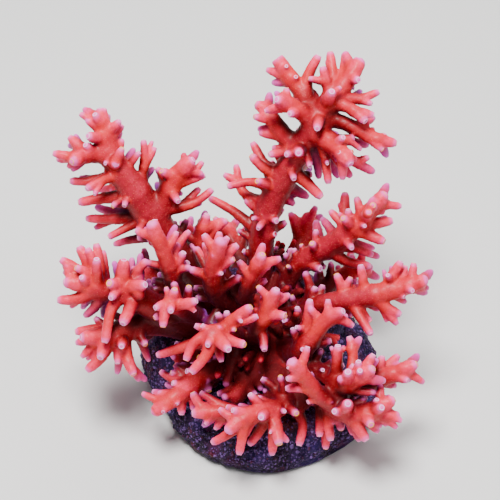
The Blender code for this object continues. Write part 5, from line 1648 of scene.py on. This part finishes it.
def finishPlacer(s, outs, material, **placing):
    placed = s.node("GeometryNodeInstanceOnPoints", None, **placing)
    real = s.node("GeometryNodeRealizeInstances", Geometry=placed.outputs[0])
    painted = s.node("GeometryNodeSetMaterial", Geometry=real.outputs[0], Material=material)
    s.tree.links.new(painted.outputs[0], outs[0])
    return s.tree


# One cup at each point, turned to face along "facing" and scaled by "cupSize".
def makeCupPlacer():
    s, ins, outs = newPlacer("cupPlacer", {"Cup": "Object", "Material": "Material"})
    shape = s.node("GeometryNodeObjectInfo", Object=ins["Cup"]).outputs["Geometry"]
    turn = s.node("FunctionNodeAlignRotationToVector", {"axis": "Z"},
                  Vector=named(s, "facing", "FLOAT_VECTOR")).outputs[0]
    return finishPlacer(s, outs, ins["Material"], Points=ins["Geometry"], Instance=shape,
                        Rotation=turn, Scale=named(s, "cupSize"))


# Polyps all over the skin, except on the tips.
def makePolypPlacer():
    s, ins, outs = newPlacer("polypPlacer", {
        "Polyp": "Object", "Material": "Material", "Density": "Float", "Smallest": "Float",
        "Largest": "Float", "Seed": "Int"})
    clear = s.node("FunctionNodeCompare", {"data_type": "FLOAT", "operation": "GREATER_THAN"},
                   i0=named(s, "toTip"), i1=skinPolyps["bareTip"]).outputs[0]
    spots = s.node("GeometryNodeDistributePointsOnFaces", {"distribute_method": "RANDOM"},
                   Mesh=ins["Geometry"], Selection=clear, Density=ins["Density"],
                   Seed=ins["Seed"]).outputs
    size = s.random(ins["Smallest"], ins["Largest"], ins["Seed"])
    shape = s.node("GeometryNodeObjectInfo", Object=ins["Polyp"]).outputs["Geometry"]
    return finishPlacer(s, outs, ins["Material"], Points=spots["Points"], Instance=shape,
                        Rotation=spots["Rotation"], Scale=size)


# Grit of mixed sizes, flattened, each grain with its own tone.
def makeGritPlacer():
    s, ins, outs = newPlacer("gritPlacer", {
        "Material": "Material", "Density": "Float", "Smallest": "Float", "Largest": "Float",
        "Seed": "Int"})
    density = s.maths("MULTIPLY", named(s, "open"), ins["Density"])
    spots = s.node("GeometryNodeDistributePointsOnFaces", {"distribute_method": "RANDOM"},
                   Mesh=ins["Geometry"], Density=density, Seed=ins["Seed"]).outputs
    toned = s.node("GeometryNodeStoreNamedAttribute", {"data_type": "FLOAT", "domain": "POINT"},
                   Geometry=spots["Points"], Name="tone", Value=s.random(0.0, 1.0, 5)).outputs[0]
    few = s.maths("POWER", s.random(0.0, 1.0, ins["Seed"]), stoneGrit["few"])
    size = s.span(few, 0.0, 1.0, ins["Smallest"], ins["Largest"], "LINEAR")
    flat = s.randomVector(*stoneGrit["shapes"], 9)
    scale = s.node("ShaderNodeVectorMath", {"operation": "SCALE"}, i0=flat, i3=size).outputs[0]
    ball = s.node("GeometryNodeMeshIcoSphere", Radius=1.0, Subdivisions=1).outputs[0]
    ball = s.node("GeometryNodeSetShadeSmooth", Geometry=ball).outputs[0]
    spin = s.node("FunctionNodeRotateRotation", {"rotation_space": "LOCAL"}, i0=spots["Rotation"],
                  i1=s.randomVector(*stoneGrit["turns"], 3)).outputs[0]
    return finishPlacer(s, outs, ins["Material"], Points=toned, Instance=ball, Rotation=spin,
                        Scale=scale)


# Runs a placer on a mesh and returns the result as a plain mesh object.
def runPlacer(mesh, tree, values, name, keep):
    source = addObject("places", mesh)
    modifier = source.modifiers.new("placer", "NODES")
    modifier.node_group = tree
    for socket in tree.interface.items_tree:
        if socket.in_out == "INPUT" and socket.name in values:
            modifier[socket.identifier] = values[socket.name]
    source.update_tag()
    view = bpy.context.evaluated_depsgraph_get()
    view.update()
    placed = bpy.data.meshes.new_from_object(source.evaluated_get(view),
                                             preserve_all_data_layers=True, depsgraph=view)
    source.modifiers.remove(modifier)
    bpy.data.objects.remove(source)
    placed.materials.clear()
    placed.materials.append(values["Material"])
    placed.polygons.foreach_set("material_index", np.zeros(len(placed.polygons), np.int32))
    for attribute in list(placed.attributes):
        if attribute.name not in keep and not attribute.is_required and not attribute.is_internal:
            placed.attributes.remove(attribute)
    return addObject(name, placed)


def spread(choice, material):
    smallest, largest = choice["sizes"]
    return {"Material": material, "Density": float(choice["density"]), "Smallest": smallest,
            "Largest": largest, "Seed": choice["seed"]}


# The coral's violet and amber. The violet is painted violet light on the shaded side: fingers that
# lean away from the viewer turn violet, and so do undersides and what faces back.
tints = {
    "awayFrom": 0.3,
    "awaySpan": 0.5,
    "fingerShare": (0.5, 0.95),
    "stemShare": 0.25,
    "amberChance": 0.28,
    "own": 0.8,
    "under": (0.9, 0.25, 0.35),  # how steeply it comes, from where, and how strong
    "behind": (0.8, 0.35, 0.21),
    "most": 0.9,
}


def violetLightShare(branches, owners, normals, clear):
    own = np.array([branch["violet"] for branch in branches] + [0.0])[owners] * clear
    total = own * tints["own"]
    for (steep, start, strong), facing in ((tints["under"], -normals[:, 2]),
                                           (tints["behind"], normals[:, 1])):
        total = total + np.clip(facing * steep - start, 0, 1) * strong
    return np.clip(total, 0, tints["most"])


# Each branch's share of painted violet light, from how far it leans away from the viewer, and
# whether its tip is amber.
def paintBranches(branches):
    dice = np.random.default_rng(growth["seed"] + 1)
    for branch in branches:
        away = -float(branch["direction"] @ toViewer)
        lean = np.clip((away - tints["awayFrom"]) / tints["awaySpan"], 0, 1)
        if branch["kind"] == "stem":
            lean *= tints["stemShare"]
        branch["violet"] = float(np.clip(lean * dice.uniform(*tints["fingerShare"]), 0, 1))
        branch["amber"] = float(dice.random() < tints["amberChance"])


# Whether a ring just past a finger's tip is out of the coral all round.
def standsClear(branch, size, depth):
    across = np.cross(branch["direction"], [0.36, 0.48, 0.8])
    across /= np.linalg.norm(across)
    other = np.cross(branch["direction"], across)
    turns = np.arange(tipCups["clearPoints"]) * 2 * math.pi / tipCups["clearPoints"]
    ring = np.outer(np.cos(turns), across) + np.outer(np.sin(turns), other)
    middle = branch["tip"] + branch["direction"] * tipCups["clearAbove"]
    return depth(middle + ring * size).min() > tipCups["clearRound"]


# A cup on each finger's end. Its widest ring has the radius 1, and "cupSize" scales it.
def makeCups(branches, depth, tree, material):
    cup = lathe("cupShape", tipCups["profile"], tipCups["sides"])
    tips = [b for b in branches if not b["blunt"] and b["kind"] in ("stem", "finger")]
    capped, sizes = [], []
    for branch in tips:
        size = min(branch["radii"][-1] * tipCups["share"], tipCups["most"])
        if standsClear(branch, size, depth):
            capped.append(branch)
            sizes.append(size)
    mesh = bpy.data.meshes.new("cupPlaces")
    mesh.from_pydata([tuple(branch["tip"] - branch["direction"] * size * tipCups["sink"])
                      for branch, size in zip(capped, sizes)], [], [])
    layer = mesh.attributes.new("facing", "FLOAT_VECTOR", "POINT")
    facing = np.array([branch["direction"] for branch in capped], np.float32)
    layer.data.foreach_set("vector", facing.ravel())
    addValues(mesh, "cupSize", sizes)
    for key in ("violet", "amber"):
        addValues(mesh, key, [branch[key] for branch in capped])
    inputs = {"Cup": cup, "Material": material}
    cups = runPlacer(mesh, tree, inputs, "tip_cups", ["mouth", "violet", "amber"])
    bpy.data.objects.remove(cup)
    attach(cups, "root")
    print(f"{len(capped)} tip cups on {len(tips)} fingers")


# Small raised rings over the whole skin.
def makePolyps(points, quads, values, tree, material):
    polyp = lathe("polypShape", skinPolyps["profile"], skinPolyps["sides"])
    mesh = meshFrom("polypPlaces", points, quads)
    for key, column in values.items():
        addValues(mesh, key, column)
    inputs = {"Polyp": polyp, **spread(skinPolyps, material)}
    polyps = runPlacer(mesh, tree, inputs, "skin_polyps", ["mouth", *values])
    bpy.data.objects.remove(polyp)
    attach(polyps, "root")
    print(f"{len(polyps.data.polygons)} polyp faces")


def makeCoral(finishes, placers):
    branches = growColony()
    paintBranches(branches)
    print(f"{len(branches)} branches grown")
    points, quads, normals, owners, crowd, depth = makeNet(branches)
    print(f"skin of {len(quads)} faces")
    toTip, clear = fingerCoordinates(points, owners, branches)
    # Upward faces, for the painted top light.
    top = np.clip(normals[:, 2] * 0.8 - normals[:, 1] * 0.35, 0, 1)
    foot = (owners == len(branches)).astype(float)
    violet = violetLightShare(branches, owners, normals, clear)
    rounds = 4
    values = {"toTip": toTip, "crowd": crowd, "top": top, "violet": violet, "foot": foot}
    for key, column in values.items():
        values[key] = blurValues(column, quads, rounds * 2 if key == "violet" else rounds)
    cutPieces(points, quads, normals, owners, depth, values, branches, finishes)
    print("skin cut into pieces")
    makeCups(branches, depth, placers["cups"], finishes["cups"])
    makePolyps(points, quads, values, placers["polyps"], finishes["polyps"])


stoneShape = {
    "cuts": [2, 2, 1],
    "smooth": 0.8,
    "lumps": [(26.0, 1.3), (62.0, 0.9), (150.0, 0.5)],  # waves to the metre, mm high
    "knobs": [(210.0, 1.5), (420.0, 1.1)],  # rounded knobs, the same
    "knobMiddle": 0.45,
    "lower": 0.5,  # mm, for all of it
    "flatBelow": 1.2 * millimetre,
}


# How far a point of the stone moves along its normal, in mm.
def stoneLift(place):
    lift = 0
    for i, (waves, height) in enumerate(stoneShape["lumps"]):
        lift += noise.noise(place * waves + Vector((i * 7.3, 2.1, 5.7))) * height
    for waves, height in stoneShape["knobs"]:
        gap = noise.voronoi(place * waves, distance_metric="DISTANCE")[0][0]
        lift += (stoneShape["knobMiddle"] - gap) * height
    return lift - stoneShape["lower"]


def makeStone(material, gritTree, gritMaterial):
    shell = bmesh.new()
    shell.from_mesh(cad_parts["stone"].data)
    bmesh.ops.remove_doubles(shell, verts=shell.verts, dist=0.02 * millimetre)
    bmesh.ops.recalc_face_normals(shell, faces=shell.faces)
    for number in stoneShape["cuts"]:
        bmesh.ops.subdivide_edges(shell, edges=shell.edges, cuts=number, use_grid_fill=True,
                                  smooth=stoneShape["smooth"])
        bmesh.ops.triangulate(shell, faces=[face for face in shell.faces if len(face.verts) > 4])
    shell.normal_update()
    moves = []
    for vert in shell.verts:
        ease = min(max(vert.co.z / stoneShape["flatBelow"] - 1, 0), 1)
        moves.append(vert.normal * stoneLift(vert.co) * millimetre * ease)
    for vert, move in zip(shell.verts, moves):
        vert.co += move
        vert.co.z = max(vert.co.z, 0)
    mesh = bpy.data.meshes.new("stone_rough")
    shell.to_mesh(mesh)
    shell.free()
    for name in ("custom_normal", "sharp_edge"):
        if name in mesh.attributes:
            mesh.attributes.remove(mesh.attributes[name])
    mesh.shade_smooth()
    mesh.materials.clear()
    mesh.materials.append(material)
    stone = addObject("stone_rough", mesh)

    places = mesh.copy()
    spots = np.zeros(len(places.vertices) * 3, np.float32)
    places.vertices.foreach_get("co", spots)
    share = np.clip((spots[2::3] - stoneGrit["setsIn"]) / stoneGrit["over"], 0, 1)
    addValues(places, "open", share)
    grit = runPlacer(places, gritTree, spread(stoneGrit, gritMaterial), "stone_grit", ["tone"])
    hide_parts("stone")
    for piece in (stone, grit):
        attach(piece, "root")
    print(f"stone of {len(mesh.polygons)} faces, {len(grit.data.polygons)} grit faces")


studio = {
    "floor": shade(226, 225, 223),
    "floorSize": 6.0,
    "floorRoughness": 0.85,
    "sky": shade(236, 238, 242),
    "skyStrength": 0.25,
    "aim": (0, 0, 0.06),
    "lamps": [  # place, size and power
        ((-0.15, -0.15, 1.15), 0.45, 28.0),
        ((0.85, -0.3, 0.8), 0.9, 3.0),
        ((0.1, 0.8, 0.9), 0.8, 5.0),
    ],
}


def makeStudio():
    bpy.ops.mesh.primitive_plane_add(size=studio["floorSize"])
    floor = bpy.context.object
    floor.name = "floor"
    material, s = newMaterial("floorPaper")
    paper = s.node("ShaderNodeBsdfPrincipled")
    paper.inputs["Base Color"].default_value = studio["floor"]
    paper.inputs["Roughness"].default_value = studio["floorRoughness"]
    s.tree.links.new(paper.outputs[0], s.node("ShaderNodeOutputMaterial").inputs[0])
    floor.data.materials.append(material)
    for place, size, power in studio["lamps"]:
        light = bpy.data.lights.new("softbox", "AREA")
        light.shape = "DISK"
        light.size = size
        light.energy = power
        lamp = addObject("softbox", light)
        lamp.location = place
        toAim = Vector(studio["aim"]) - Vector(place)
        lamp.rotation_euler = toAim.to_track_quat("-Z", "Y").to_euler()
    world = bpy.data.worlds.new("studioSky")
    world.use_nodes = True
    sky = world.node_tree.nodes["Background"]
    sky.inputs[0].default_value = studio["sky"]
    sky.inputs[1].default_value = studio["skyStrength"]
    bpy.context.scene.world = world


def makeCamera():
    lens = bpy.data.cameras.new("view")
    lens.lens = photo["lens"]
    lens.sensor_width = photo["sensor"]
    lens.sensor_fit = "HORIZONTAL"
    lens.clip_start = 0.01
    camera = addObject("view", lens)
    camera.location = photo["focus"] + toViewer * photo["distance"]
    camera.rotation_euler = (photo["tilt"], 0, 0)
    bpy.context.scene.camera = camera


makeCamera()
makeStudio()
patterns = (makeFineDots(), makeSoftPatches())
finishes = {
    "skin": makeCoralFinish(*patterns),
    "crust": makeCrustFinish(*patterns),
    "cups": makeCupFinish(patterns[0]),
    "polyps": makePolypFinish(*patterns),
}
placers = {"cups": makeCupPlacer(), "polyps": makePolypPlacer()}
print("materials made")
makeStone(makeStoneFinish(*patterns), makeGritPlacer(), makeGrainFinish(*patterns))
makeCoral(finishes, placers)
